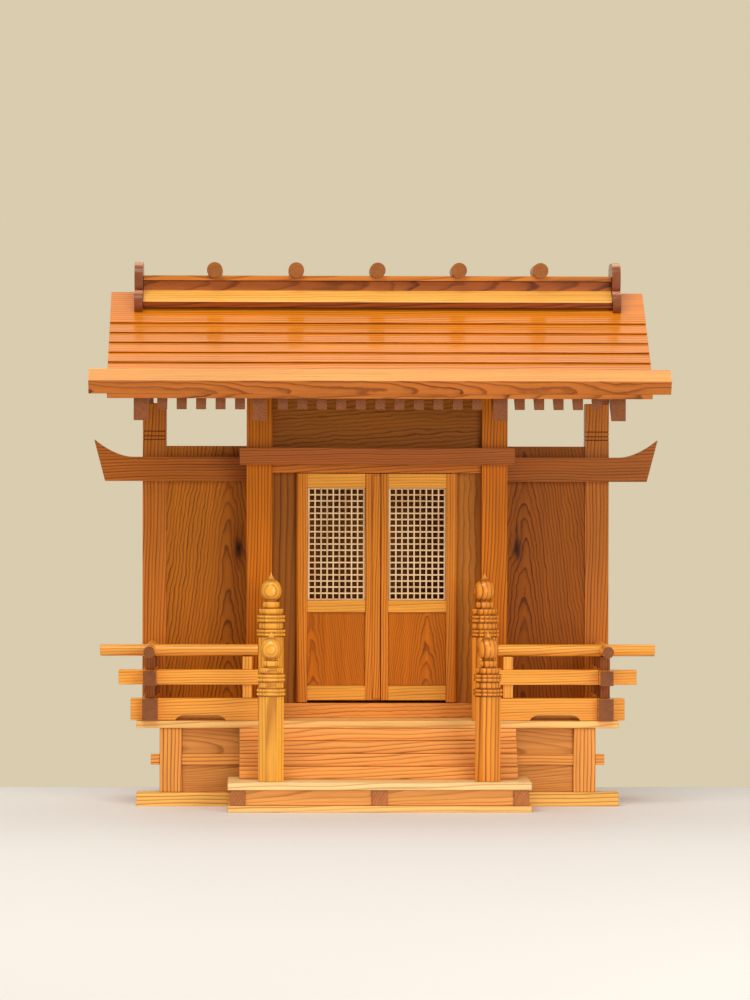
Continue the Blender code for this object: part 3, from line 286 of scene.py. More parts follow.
def wood(early, late, end, pitch, rough, **own):
    """A look: colours of early wood, late wood and end grain, ring pitch and roughness.

    taper, warp and jag bend the rings, coat is varnish, and top is a painted highlight: a lighter
    colour on faces that look up, standing in for light from above.
    """
    usual = {"taper": 0.02, "warp": 0.012, "jag": 0.0, "coat": 0.10, "coat_rough": 0.15, "top": None}
    return {"early": early, "late": late, "end": end, "pitch": pitch, "rough": rough, **usual, **own}


LOOKS = {
    "pale": wood("FDCA7C", "C8843C", "D99A55", 0.0034, 0.36),
    "pale_light": wood("FFDC9C", "D49C56", "D99A55", 0.0034, 0.36),
    "sill": wood("FFC466", "AC682A", "C98644", 0.0040, 0.38),
    "post": wood("F6A550", "8A4010", "A05A28", 0.0036, 0.36),
    "panel": wood("DC9248", "AE6E30", "A06030", 0.0015, 0.42, taper=0.03, warp=0.006),
    "panel_light": wood("F0A85A", "C87E3C", "A86C38", 0.0015, 0.42, warp=0.006),
    "stair": wood("FCB05C", "AC642A", "A05A2C", 0.0028, 0.34, taper=0.03),
    "door_sill": wood("F6A44E", "A85C24", "A05A2C", 0.0036, 0.34, taper=0.04, jag=1.0),
    "bearer": wood("C87C44", "8A4A20", "BC7442", 0.0030, 0.40),
    "gold": wood("FFB640", "C27A28", "C07A38", 0.0024, 0.30, coat=0.5, taper=0.004, warp=0.003),
    "gold_dark": wood("F4982C", "7E3206", "A05A20", 0.0048, 0.30, coat=0.5, taper=0.008, warp=0.005),
    "rail": wood("FCAC42", "B86C20", "8C5026", 0.0030, 0.33, coat=0.5),
    # A darker copy of the rail wood: painted shade on the small posts at the corner
    "rail_painted_shade": wood("9C5A28", "5E2C0C", "7C4420", 0.0026, 0.38),
    "post_brown": wood("DC7A10", "6C2C02", "7A3E10", 0.0032, 0.34),
    "wall": wood("CE7818", "6E3606", "6A3A12", 0.0036, 0.42, taper=0.13, warp=0.016, jag=1.5),
    "wall_deep": wood("AE5E0C", "5E2A02", "6A3A12", 0.0036, 0.42, taper=0.13, warp=0.016, jag=1.5),
    "beam": wood("BC682C", "743814", "6E381C", 0.0026, 0.38, jag=0.8),
    "lintel": wood("DC802C", "8A400E", "8A4A20", 0.0034, 0.36, taper=0.05, jag=0.8),
    "screen_cap": wood("BA6822", "72340C", "7A4418", 0.0032, 0.36),
    "dark": wood("AC6418", "6C3A08", "5E3818", 0.0044, 0.46, taper=0.08, jag=1.6),
    "front_panel": wood("A66218", "6E3A0E", "6A4020", 0.0064, 0.44),
    "front_panel_light": wood("CA7E28", "90541A", "7A4820", 0.0064, 0.44, jag=1.0),
    "door_frame": wood("E48A28", "8E480E", "985220", 0.0028, 0.33),
    "door_rail": wood("F6AC44", "C47C28", "A86428", 0.0030, 0.33),
    "door_panel": wood("CE7008", "8A4602", "7E421A", 0.0022, 0.36, taper=0.1, jag=2.0),
    "lattice": wood("FADCAE", "CC9C62", "B08850", 0.0030, 0.45),
    "rafter": wood("98522E", "623014", "8C5230", 0.0026, 0.45),
    "shingle": wood("E4861E", "A4500A", "A05A28", 0.0044, 0.30, coat=0.25, coat_rough=0.1),
    # The eave's top colour is a painted highlight on its upward faces
    "eave": wood("D27A32", "702E0C", "9A5428", 0.0014, 0.34, taper=0.02, jag=0.8, top="FCB25E"),
    "ridge": wood("AE6026", "642A08", "7E4824", 0.0015, 0.38, taper=0.03, jag=0.7, coat=0.3),
    # The ridge ends' top colour is a painted highlight on the tops of their lobes
    "ridge_end": wood("94502A", "54260E", "8A4A28", 0.0022, 0.36, coat=0.4, top="E0A07C"),
    "flashing": wood("FEBC5C", "D29436", "B06A34", 0.0050, 0.30, coat=0.6),
    # A dark copy of the flashing wood: painted shade on the front edge of the sloping ridge boards
    "flashing_painted_shade": wood("8E3E06", "521E02", "8A4010", 0.0030, 0.38, taper=0.04),
    "cap": wood("D07E2A", "8A4812", "9A5A28", 0.0026, 0.34, coat=0.5),
    "log": wood("C07038", "6E3414", "A0622F", 0.0024, 0.36),
    "screen_post": wood("CE7826", "7E3C0C", "7A4018", 0.0034, 0.36),
}


# Helpers for objects and shaders

def new_object(name, data):
    """An object in the scene for a mesh, a lamp or a camera."""
    item = bpy.data.objects.new(name, data)
    bpy.context.scene.collection.objects.link(item)
    return item


def new_material(name):
    """A material with its node tree and its shader."""
    material = bpy.data.materials.new(name)
    material.use_nodes = True
    return material, material.node_tree, material.node_tree.nodes["Principled BSDF"]


def linear(hex_colour):
    """A colour written as six hex digits, as the linear values that a shader takes."""
    channels = [int(hex_colour[i:i + 2], 16) / 255 for i in (0, 2, 4)]
    return [c / 12.92 if c <= 0.04045 else ((c + 0.055) / 1.055) ** 2.4 for c in channels] + [1.0]


def feed(tree, node, inputs):
    """Link sockets to a node's inputs, by name or number, or set them to plain values."""
    for key, value in inputs.items():
        if isinstance(value, bpy.types.NodeSocket):
            tree.links.new(value, node.inputs[key])
        else:
            node.inputs[key].default_value = value


def calc(tree, operation, first, second=0.0, third=0.0):
    """A math node on sockets or plain numbers, as its result socket."""
    node = tree.nodes.new("ShaderNodeMath")
    node.operation = operation
    feed(tree, node, {0: first, 1: second, 2: third})
    return node.outputs[0]


def vector_calc(tree, operation, *vectors):
    """A vector math node on sockets or plain vectors, as its outputs."""
    node = tree.nodes.new("ShaderNodeVectorMath")
    node.operation = operation
    feed(tree, node, dict(enumerate(vectors)))
    return node.outputs


def scaled(tree, vector, scale):
    """A vector socket multiplied by three numbers."""
    return vector_calc(tree, "MULTIPLY", vector, scale)["Vector"]


def distance(tree, vector):
    """Length of a vector socket."""
    return vector_calc(tree, "LENGTH", vector)["Value"]


def spread(tree, value, before, after):
    """A value mapped from one (low, high) range to another, clamped."""
    node = tree.nodes.new("ShaderNodeMapRange")
    ends = zip(("From Min", "From Max", "To Min", "To Max"), (*before, *after))
    feed(tree, node, {"Value": value, **dict(ends)})
    return node.outputs["Result"]


def blend(tree, share, first, second, mode="MIX"):
    """Two colours mixed by a share. Inputs 0, 6 and 7 take the share and the colours."""
    node = tree.nodes.new("ShaderNodeMix")
    node.data_type = "RGBA"
    node.blend_type = mode
    feed(tree, node, {0: share, 6: first, 7: second})
    return node.outputs[2]


def ramp(tree, value, stops):
    """A value turned into a value by a ramp of (place, level) stops."""
    node = tree.nodes.new("ShaderNodeValToRGB")
    tree.links.new(value, node.inputs["Fac"])
    elements = node.color_ramp.elements
    while len(elements) < len(stops):
        elements.new(0.5)
    for element, (place, level) in zip(elements, stops):
        element.position = place
        element.color = (level, level, level, 1.0)
    return node.outputs["Color"]


# Wood

def wood_space(low, high, grain, heart, seed):
    """World to wood coordinates: the grain runs along z, and the tree's heart is the axis.

    grain is x, y, z or a direction. heart is the offset of the heart from the board's
    middle, along the two axes across the grain.
    """
    middle = (Vector(low) + Vector(high)) / 2
    along = Vector(GRAIN_WAYS.get(grain, grain)).normalized()
    across = Vector((1, 0, 0)) if abs(along.x) < 0.5 else Vector((0, 1, 0))
    other = along.cross(across).normalized()
    turn = Matrix((across, other, along)).to_4x4()
    shift = random.Random(seed).uniform(-GRAIN_SHIFT, GRAIN_SHIFT)
    place = Vector((-heart[0], -heart[1], shift))
    return Matrix.Translation(place) @ turn @ Matrix.Translation(-middle)


def attribute(tree, name):
    """The vector that a piece carries under a name."""
    node = tree.nodes.new("ShaderNodeAttribute")
    node.attribute_name = name
    return node.outputs["Vector"]


def wood_inputs(tree, space):
    """Sockets with the wood coordinates, how far a face shows end grain, and how far it looks up,
    which sets the painted highlight on tops.
    """
    coordinates = tree.nodes.new("ShaderNodeTexCoord")
    normal = coordinates.outputs["Normal"]
    if space is None:
        where = attribute(tree, "wood_place")
        axis = attribute(tree, "wood_axis")
    else:
        mapping = tree.nodes.new("ShaderNodeMapping")
        feed(tree, mapping, {"Location": space.to_translation(), "Rotation": space.to_euler()})
        feed(tree, mapping, {"Vector": coordinates.outputs["Object"]})
        where = mapping.outputs["Vector"]
        axis = space.to_3x3()[2]
    facing = vector_calc(tree, "DOT_PRODUCT", normal, axis)["Value"]
    end = spread(tree, calc(tree, "ABSOLUTE", facing), END_ANGLE, (0.0, 1.0))
    upward = vector_calc(tree, "DOT_PRODUCT", normal, (0.0, 0.0, 1.0))["Value"]
    return where, end, spread(tree, upward, PAINTED_HIGHLIGHT_ANGLE, (0.0, 1.0))


def grain_noise(tree, where, scales, detail=2.0):
    """Noise at wood coordinates, with one scale across the grain and one along it."""
    across, along = scales
    node = tree.nodes.new("ShaderNodeTexNoise")
    place = scaled(tree, where, (across, across, along))
    feed(tree, node, {"Vector": place, "Scale": 1.0, "Detail": detail})
    return node.outputs["Fac"]


def knot_nearness(tree, where, knot):
    """1 in the core of a knot and 0 away from it, and the same for the grain around it."""
    place, width, length = knot
    offset = vector_calc(tree, "SUBTRACT", where, place)["Vector"]
    reach = distance(tree, scaled(tree, offset, (1 / width, 0.0, 1 / length)))
    ragged = calc(tree, "MULTIPLY", grain_noise(tree, where, KNOT_NOISE), KNOT_RAGGEDNESS)
    reach = calc(tree, "ADD", reach, ragged)
    return [spread(tree, reach, ends, (1.0, 0.0)) for ends in (KNOT_CORE_REACH, KNOT_RIM_REACH)]


def late_wood(tree, where, look, knot):
    """Share of late wood: bent rings about the heart, each with a strength of its own."""
    flat = distance(tree, scaled(tree, where, (1.0, 1.0, 0.0)))
    taper = vector_calc(tree, "DOT_PRODUCT", where, (0.0, 0.0, look["taper"]))["Value"]
    bend = calc(tree, "MULTIPLY", grain_noise(tree, where, WARP_NOISE), look["warp"])
    pitch = look["pitch"]
    sway = calc(tree, "MULTIPLY", grain_noise(tree, where, RIPPLE_NOISE), RIPPLE_SHARE * pitch)
    jags = grain_noise(tree, where, JAG_NOISE)
    sway = calc(tree, "MULTIPLY_ADD", jags, look["jag"] * pitch, sway)
    radius = calc(tree, "ADD", flat, taper)
    radius = calc(tree, "ADD", radius, calc(tree, "ADD", bend, sway))
    if knot:
        radius = calc(tree, "MULTIPLY_ADD", knot[1], KNOT_SWELLING, radius)
    turns = calc(tree, "DIVIDE", radius, pitch)
    late = ramp(tree, calc(tree, "FRACT", turns), RING_PROFILE)
    number = tree.nodes.new("ShaderNodeTexWhiteNoise")
    number.noise_dimensions = "1D"
    feed(tree, number, {"W": calc(tree, "FLOOR", turns)})
    strength = spread(tree, number.outputs["Value"], (0.0, 1.0), RING_STRENGTH)
    return calc(tree, "MULTIPLY", late, strength)


def ring_colour(tree, look, late, end, painted_highlight_share, knot):
    """Colour of the rings on side grain and end grain, with a painted highlight on faces that look up
    where the look has a top colour, and a knot where there is one.
    """
    early = linear(look["early"])
    # Painted highlight: faces that look up get the look's lighter top colour
    if look["top"]:
        early = blend(tree, painted_highlight_share, early, linear(look["top"]))
    colour = blend(tree, late, early, linear(look["late"]))
    end_early = linear(look["end"])
    end_late = [END_LATE_SHADE * c for c in end_early[:3]] + [1.0]
    end_share = calc(tree, "MULTIPLY", late, END_LATE_SHARE)
    colour = blend(tree, end, colour, blend(tree, end_share, end_early, end_late))
    if knot:
        core, around = knot
        rim = calc(tree, "MULTIPLY", around, KNOT_RIM_SHARE)
        colour = blend(tree, rim, colour, linear(KNOT_RIM_COLOUR))
        colour = blend(tree, core, colour, linear(KNOT_COLOUR))
    return colour


def toned(tree, colour, streak, fibre, cloud):
    """A colour made lighter and darker by streaks, fibres and broad clouds."""
    fine = spread(tree, fibre, NOISE_RANGE, FIBRE_TONE)
    tone = calc(tree, "ADD", spread(tree, streak, NOISE_RANGE, STREAK_TONE), fine)
    tone = calc(tree, "MULTIPLY", tone, spread(tree, cloud, NOISE_RANGE, CLOUD_TONE))
    grey = tree.nodes.new("ShaderNodeCombineColor")
    feed(tree, grey, {0: tone, 1: tone, 2: tone})
    return blend(tree, 1.0, colour, grey.outputs[0], "MULTIPLY")


def wood_material(name, look_name, space=None, knot=None):
    """Varnished softwood: rings about the heart, fibres, streaks, darker end grain, and a painted
    highlight on faces that look up for looks with a top colour.
    """
    look = LOOKS[look_name]
    material, tree, shader = new_material(name)
    where, end, painted_highlight_share = wood_inputs(tree, space)
    near = knot_nearness(tree, where, knot) if knot else None
    late = late_wood(tree, where, look, near)
    streak = grain_noise(tree, where, STREAK_NOISE, 3.0)
    fibre = grain_noise(tree, where, FIBRE_NOISE)
    colour = ring_colour(tree, look, late, end, painted_highlight_share, near)
    colour = toned(tree, colour, streak, fibre, grain_noise(tree, where, CLOUD_NOISE))
    rough = calc(tree, "ADD", spread(tree, streak, NOISE_RANGE, STREAK_ROUGHNESS), look["rough"])
    rough = calc(tree, "ADD", rough, calc(tree, "MULTIPLY", end, END_ROUGHNESS))
    rings = calc(tree, "MULTIPLY", late, BUMP_OF_RINGS)
    fibres = calc(tree, "MULTIPLY", fibre, BUMP_OF_FIBRES)
    bump = tree.nodes.new("ShaderNodeBump")
    height = calc(tree, "ADD", rings, fibres)
    feed(tree, bump, {"Strength": 0.35, "Distance": 0.0002, "Height": height})
    feed(tree, shader, {"Base Color": colour, "Roughness": rough, "Normal": bump.outputs["Normal"]})
    feed(tree, shader, {"Specular IOR Level": SPECULAR_LEVEL, "Coat Weight": look["coat"]})
    feed(tree, shader, {"Coat Roughness": look["coat_rough"]})
    return material


def shared_material(look_name):
    """The material of a look for pieces whose boards carry their own wood coordinates."""
    name = look_name + "_boards"
    return bpy.data.materials.get(name) or wood_material(name, look_name)


def seed_of(text):
    """A seed from a name, the same each run."""
    return sum((index + 1) * ord(letter) for index, letter in enumerate(text))


def dress(node, look, grain, heart, edge=EDGE):
    """Give a packed board its wood and slightly rounded edges."""
    low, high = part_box(node)
    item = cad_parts[node]
    space = wood_space(low, high, grain, heart, seed_of(node))
    material = wood_material(node + "_wood", look, space)
    item.data.materials.clear()
    item.data.materials.append(material)
    if edge > 0.0:
        bevel = item.modifiers.new("rounded_edges", "BEVEL")
        bevel.width = edge
        bevel.segments = EDGE_SEGMENTS
        bevel.limit_method = "ANGLE"
        bevel.angle_limit = SHARP_ANGLE
        bevel.harden_normals = True


# Pieces made of boards with wood coordinates of their own

class Joinery:
    """Boards gathered into one piece, each with its own wood coordinates and look."""

    def __init__(self, name):
        self.name = name
        self.points = []
        self.faces = []
        self.places = []
        self.axes = []
        self.looks = []
        self.face_looks = []
        self.count = 0

    def add(self, shape, look, grain, heart, edge=EDGE):
        """Take a bmesh as one board."""
        if edge > 0.0:
            sharp = [e for e in shape.edges if e.calc_face_angle(0.0) > SHARP_ANGLE]
            bmesh.ops.bevel(
                shape, geom=sharp, offset=edge, segments=EDGE_SEGMENTS, profile=0.5, affect="EDGES"
            )
        bmesh.ops.recalc_face_normals(shape, faces=shape.faces)
        corners = [vertex.co.copy() for vertex in shape.verts]
        low = [min(c[k] for c in corners) for k in range(3)]
        high = [max(c[k] for c in corners) for k in range(3)]
        self.count += 1
        space = wood_space(low, high, grain, heart, seed_of(self.name) + self.count)
        axis = space.to_3x3()[2]
        first = len(self.points)
        self.points += corners
        self.places += [space @ corner for corner in corners]
        self.axes += [axis] * len(corners)
        if look not in self.looks:
            self.looks.append(look)
        shape.verts.index_update()
        for face in shape.faces:
            self.faces.append([first + vertex.index for vertex in face.verts])
            self.face_looks.append(self.looks.index(look))
        shape.free()

    def board(self, low, high, look, grain, heart, edge=EDGE):
        """Take the block between two corners as one board."""
        self.add(block(low, high), look, grain, heart, edge)

    def finish(self, nodes, body="shrine", smooth_angle=SMOOTH_ANGLE):
        """Make the piece, put it on its body and let it stand for its nodes."""
        mesh = bpy.data.meshes.new(self.name)
        mesh.from_pydata(self.points, [], self.faces)
        for title, values in (("wood_place", self.places), ("wood_axis", self.axes)):
            layer = mesh.attributes.new(title, "FLOAT_VECTOR", "POINT")
            layer.data.foreach_set("vector", [number for value in values for number in value])
        for look in self.looks:
            mesh.materials.append(shared_material(look))
        mesh.polygons.foreach_set("material_index", self.face_looks)
        mesh.shade_smooth()
        mesh.set_sharp_from_angle(angle=smooth_angle)
        item = new_object(self.name, mesh)
        weighted = item.modifiers.new("even_normals", "WEIGHTED_NORMAL")
        weighted.keep_sharp = True
        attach(item, body)
        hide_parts(*nodes)
        return item


def block(low, high):
    """A rectangular block between two corners, given in any order."""
    low, high = Vector(map(min, low, high)), Vector(map(max, low, high))
    shape = bmesh.new()
    bmesh.ops.create_cube(shape, size=1.0)
    bmesh.ops.scale(shape, vec=high - low, verts=shape.verts)
    bmesh.ops.translate(shape, vec=(low + high) / 2, verts=shape.verts)
    return shape


def prism(outline, axis, low, high):
    """An outline pushed along an axis. Its points leave that axis out, in x, y, z order."""
    shape = bmesh.new()
    place = "xyz".index(axis)
    rings = []
    for level in (low, high):
        points = [(*point[:place], level, *point[place:]) for point in outline]
        rings.append([shape.verts.new(point) for point in points])
    shape.faces.new(rings[0])
    shape.faces.new(list(reversed(rings[1])))
    for index in range(len(outline)):
        after = (index + 1) % len(outline)
        shape.faces.new((rings[0][index], rings[0][after], rings[1][after], rings[1][index]))
    bmesh.ops.recalc_face_normals(shape, faces=shape.faces)
    return shape


def rod(start, end, radius, segments=48):
    """A round bar between two points."""
    start, end = Vector(start), Vector(end)
    way = end - start
    turn = way.to_track_quat("Z", "Y").to_matrix().to_4x4()
    place = Matrix.Translation((start + end) / 2) @ turn
    size = {"radius1": radius, "radius2": radius, "depth": way.length}
    shape = bmesh.new()
    bmesh.ops.create_cone(shape, cap_ends=True, segments=segments, matrix=place, **size)
    return shape


# Base

def make_ground_sill():
    """The sleeper frame: two long beams and two short ones between them."""
    low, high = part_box("ground_sill")
    sill = Joinery("ground_beams")
    beams = ((high.x, low.y, low.y + SILL_WIDTH), (BASE_HALF_SPAN, high.y - SILL_WIDTH, high.y))
    for reach, near, far in beams:
        sill.board((-reach, near, low.z), (reach, far, high.z), "sill", "x", (0.01, 0.06))
    for side in (LEFT, RIGHT):
        outer = side * BASE_HALF_SPAN
        start = (outer, low.y + SILL_WIDTH + SEAM, low.z)
        end = (outer - side * SILL_WIDTH, high.y - SILL_WIDTH - SEAM, high.z)
        sill.board(start, end, "sill", "y", (0.06, 0.01))
    sill.finish(["ground_sill"])


def make_base_framing():
    """Four posts, and the tie rails that show between and beyond them."""
    low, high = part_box("base_framing")
    framing = Joinery("base_posts_and_ties")
    tie_top = TIE_UNDERSIDE + TIE_HEIGHT
    inner = BASE_HALF_SPAN - BASE_POST
    for side in (LEFT, RIGHT):
        for near in (low.y, high.y - BASE_POST):
            start = (side * BASE_HALF_SPAN, near, low.z)
            end = (side * inner, near + BASE_POST, high.z)
            framing.board(start, end, "post", "z", (0.055 * side, 0.012))
        side_x = side * (BASE_HALF_SPAN - TIE_INSET)
        start = (side_x, low.y + BASE_POST, TIE_UNDERSIDE)
        end = (side_x - side * TIE_THICKNESS, high.y - BASE_POST, tie_top)
        framing.board(start, end, "post", "y", (0.05, 0.012))
    front_tie = low.y + TIE_INSET
    back_tie = high.y - TIE_INSET - TIE_THICKNESS
    runs = [(front_tie, -inner, inner), (back_tie, -inner, inner)]
    runs += [(front_tie, side * BASE_HALF_SPAN, side * high.x) for side in (LEFT, RIGHT)]
    for near, left, right in runs:
        start = (left, near, TIE_UNDERSIDE)
        framing.board(start, (right, near + TIE_THICKNESS, tie_top), "post", "x", (0.008, 0.05))
    framing.finish(["base_framing"])


def make_platform_core():
    """Three bearers with their end grain to the front, and set-back boards between."""
    low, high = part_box("platform_core")
    core = Joinery("platform_bearers")
    half = BEARER_WIDTH / 2
    middles = (low.x + half, 0.0, high.x - half)
    for middle in middles:
        start = (middle - half, low.y, low.z)
        core.board(start, (middle + half, high.y, high.z), "bearer", "y", (0.03, 0.02))
    near = low.y + PLATFORM_PANEL_INSET
    far = near + PLATFORM_PANEL_THICKNESS
    for left, right in zip(middles, middles[1:]):
        start = (left + half, near, low.z)
        core.board(start, (right - half, far, high.z), "panel_light", "x", (0.03, 0.01))
    core.finish(["platform_core"])


# Finial posts

def ring_points(radius, height, flatness):
    """A closed ring, from a circle at flatness 0 to an octagon at 1."""
    points = []
    for index in range(FINIAL_SEGMENTS):
        angle = 2 * pi * index / FINIAL_SEGMENTS
        from_flat = (angle + OCTAGON_HALF_SIDE) % (2 * OCTAGON_HALF_SIDE) - OCTAGON_HALF_SIDE
        reach = radius * (1 - flatness + flatness / cos(from_flat))
        points.append((reach * cos(angle), reach * sin(angle), height))
    return points


def finial_outline():
    """Rings (radius, height, flatness) from the foot of the shaft to the bulb's tip."""
    half = FINIAL_SHAFT / 2
    rings = [(half, 0.0, 1.0), (half, FINIAL_SHAFT_HEIGHT, 1.0)]
    top = FINIAL_SHAFT_HEIGHT
    edge = half
    for gap, height, foot, head in FINIAL_COLLARS:
        groove = min(foot, edge) - COLLAR_GROOVE
        rings += [(groove, top + share * gap, 1.0) for share in COLLAR_GROOVE_LEVELS]
        for index in range(COLLAR_STEPS + 1):
            turn = pi * index / COLLAR_STEPS
            share = (1 - cos(turn)) / 2
            draw_in = COLLAR_ROUNDING * (1 - sin(turn) ** COLLAR_FULLNESS)
            reach = foot + (head - foot) * share - draw_in
            rings.append((reach, top + gap + height * share, 1.0))
        top += gap + height
        edge = head
    rings.append((BULB_NECK, top + COLLAR_GROOVE / 2, 0.0))
    return rings + bulb_rings(top + BULB_NECK_HEIGHT)


def bulb_rings(base):
    """The bulb, widest above its neck, with a spire that draws in to a point."""
    widest = base + BULB_LOWER
    below = (acos(BULB_NECK / BULB_RADIUS), BULB_LOWER)
    above = (acos(SPIRE_FOOT / BULB_RADIUS), BULB_UPPER)
    rings = []
    for index in range(-BULB_STEPS, BULB_STEPS + 1):
        full_turn, rise = below if index < 0 else above
        turn = full_turn * index / BULB_STEPS
        rings.append((BULB_RADIUS * cos(turn), widest + rise * sin(turn) / sin(full_turn), 0.0))
    for index in range(1, SPIRE_STEPS + 1):
        share = index / SPIRE_STEPS
        radius = SPIRE_TIP + (SPIRE_FOOT - SPIRE_TIP) * (1 - share) ** SPIRE_POWER
        rings.append((radius, widest + BULB_UPPER + SPIRE_HEIGHT * share, 0.0))
    return rings


def lathe(rings, centre):
    """A closed body through rings about an upright axis."""
    shape = bmesh.new()
    loops = []
    for radius, height, flatness in rings:
        ring = ring_points(radius, height, flatness)
        loops.append([shape.verts.new(Vector(point) + centre) for point in ring])
    for lower, upper in zip(loops, loops[1:]):
        for index in range(FINIAL_SEGMENTS):
            after = (index + 1) % FINIAL_SEGMENTS
            shape.faces.new((lower[index], lower[after], upper[after], upper[index]))
    shape.faces.new(list(reversed(loops[0])))
    shape.faces.new(loops[-1])
    return shape


def make_finial_posts():
    """Four octagonal posts with collars and a turned onion finial."""
    for row in ("front", "back"):
        for side in (LEFT, RIGHT):
            node = f"finial_post_{row}_{SIDE_NAMES[side]}"
            low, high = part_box(node)
            centre = Vector(((low.x + high.x) / 2, (low.y + high.y) / 2, low.z))
            post = Joinery(f"finial_{row}_{SIDE_NAMES[side]}")
            look, heart = FINIAL_WOODS[side]
            post.add(lathe(finial_outline(), centre), look, "z", heart, edge=0.0)
            post.finish([node], smooth_angle=FINIAL_SMOOTH_ANGLE)


# Railing

def arch_points():
    """Half of the cut-out's edge, as (reach, rise) from its foot to where it runs level."""
    foot = SCUPPER_WIDTH / 2
    level = SCUPPER_TOP_WIDTH - foot
    bend = (foot + SCUPPER_TOP_WIDTH / 2) / 2
    points = []
    for index in range(SCUPPER_STEPS + 1):
        share = index / SCUPPER_STEPS
        reach = (1 - share) ** 2 * foot + 2 * share * (1 - share) * bend + share**2 * level
        points.append((reach, SCUPPER_HEIGHT * (1 - (1 - share) ** 2)))
    return points


def make_bottom_rails(side):
    """The deep rail with its cut-out, and the side rail that crosses it."""
    node = f"rail_bottom_{SIDE_NAMES[side]}"
    low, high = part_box(node)
    half = BOTTOM_RAIL_WIDTH / 2
    start, tip = sorted((low.x, high.x), key=abs)
    rail = Joinery(node + "_boards")
    arch = arch_points()
    outline = [(start, low.z)]
    outline += [(side * (SCUPPER_X - reach), low.z + rise) for reach, rise in arch]
    outline += [(side * (SCUPPER_X + reach), low.z + rise) for reach, rise in reversed(arch)]
    crossing = side * (RAIL_X - half - SEAM)
    outline += [(crossing, low.z), (crossing, high.z), (start, high.z)]
    rail.add(prism(outline, "y", RAIL_Y - half, RAIL_Y + half), "rail", "x", (0.01, 0.09))
    beyond = (side * (RAIL_X + half + SEAM), RAIL_Y - half, low.z)
    rail.board(beyond, (tip, RAIL_Y + half, high.z), "rail", "x", (0.01, 0.09))
    near = (side * RAIL_X - half, low.y, low.z)
    rail.board(near, (side * RAIL_X + half, high.y, high.z), "rail", "y", (0.03, 0.03))
    rail.finish([node])


def make_middle_rails(side):
    """The square rail, the side rail across it, and the small posts above and below."""
    node = f"rail_middle_{SIDE_NAMES[side]}"
    low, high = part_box(node)
    half = MIDDLE_RAIL_WIDTH / 2
    bottom = MIDDLE_RAIL_Z - MIDDLE_RAIL_HEIGHT / 2
    top = MIDDLE_RAIL_Z + MIDDLE_RAIL_HEIGHT / 2
    start, tip = sorted((low.x, high.x), key=abs)
    rail = Joinery(node + "_boards")
    for near, far in ((start, side * (RAIL_X - half - SEAM)), (side * (RAIL_X + half + SEAM), tip)):
        rail.board((near, RAIL_Y - half, bottom), (far, RAIL_Y + half, top), "rail", "x", (0.01, 0.08))
    near = (side * RAIL_X - half, low.y, bottom)
    rail.board(near, (side * RAIL_X + half, high.y, top), "rail", "y", (0.03, 0.025))
    places = [(RAIL_X, RAIL_Y), (RAIL_POST_X, RAIL_Y)]
    places += [(RAIL_X, y) for y in RAIL_POST_DEPTHS]
    reach = RAIL_POST / 2
    for x, y in places:
        # The small posts at the corner take a darker copy of the rail wood, as painted shade
        look = "rail_painted_shade" if x == RAIL_X else "rail"
        for foot, head in ((low.z, bottom - SEAM), (top + SEAM, high.z)):
            start = (side * x - reach, y - reach, foot)
            rail.board(start, (side * x + reach, y + reach, head), look, "z", (0.04, 0.01))
    rail.finish([node])


def make_top_rails(side):
    """The round rails that cross at the corner."""
    node = f"rail_top_{SIDE_NAMES[side]}"
    low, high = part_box(node)
    start, tip = sorted((low.x, high.x), key=abs)
    radius = TOP_RAIL_DIAMETER / 2
    rail = Joinery(node + "_bars")
    along = rod((start, RAIL_Y, TOP_RAIL_Z), (tip, RAIL_Y, TOP_RAIL_Z), radius)
    rail.add(along, "rail", "x", (0.01, 0.05), edge=ROUND_RAIL_EDGE)
    across = rod((side * RAIL_X, low.y, TOP_RAIL_Z), (side * RAIL_X, high.y, TOP_RAIL_Z), radius)
    rail.add(across, "rail", "y", (0.03, 0.03), edge=ROUND_RAIL_EDGE)
    rail.finish([node])


# Doors

def stile_outline(side, inner, hinge):
    """Section of a hanging stile, which is round on the side of its hinge."""
    radius = LEAF_THICKNESS / 2
    outline = [(inner, LEAF_FRONT + LEAF_THICKNESS), (inner, LEAF_FRONT)]
    for index in range(STILE_ROUND_STEPS + 1):
        turn = pi * index / STILE_ROUND_STEPS - pi / 2
        reach = side * radius * cos(turn)
        outline.append((hinge + reach, LEAF_FRONT + radius + radius * sin(turn)))
    return outline


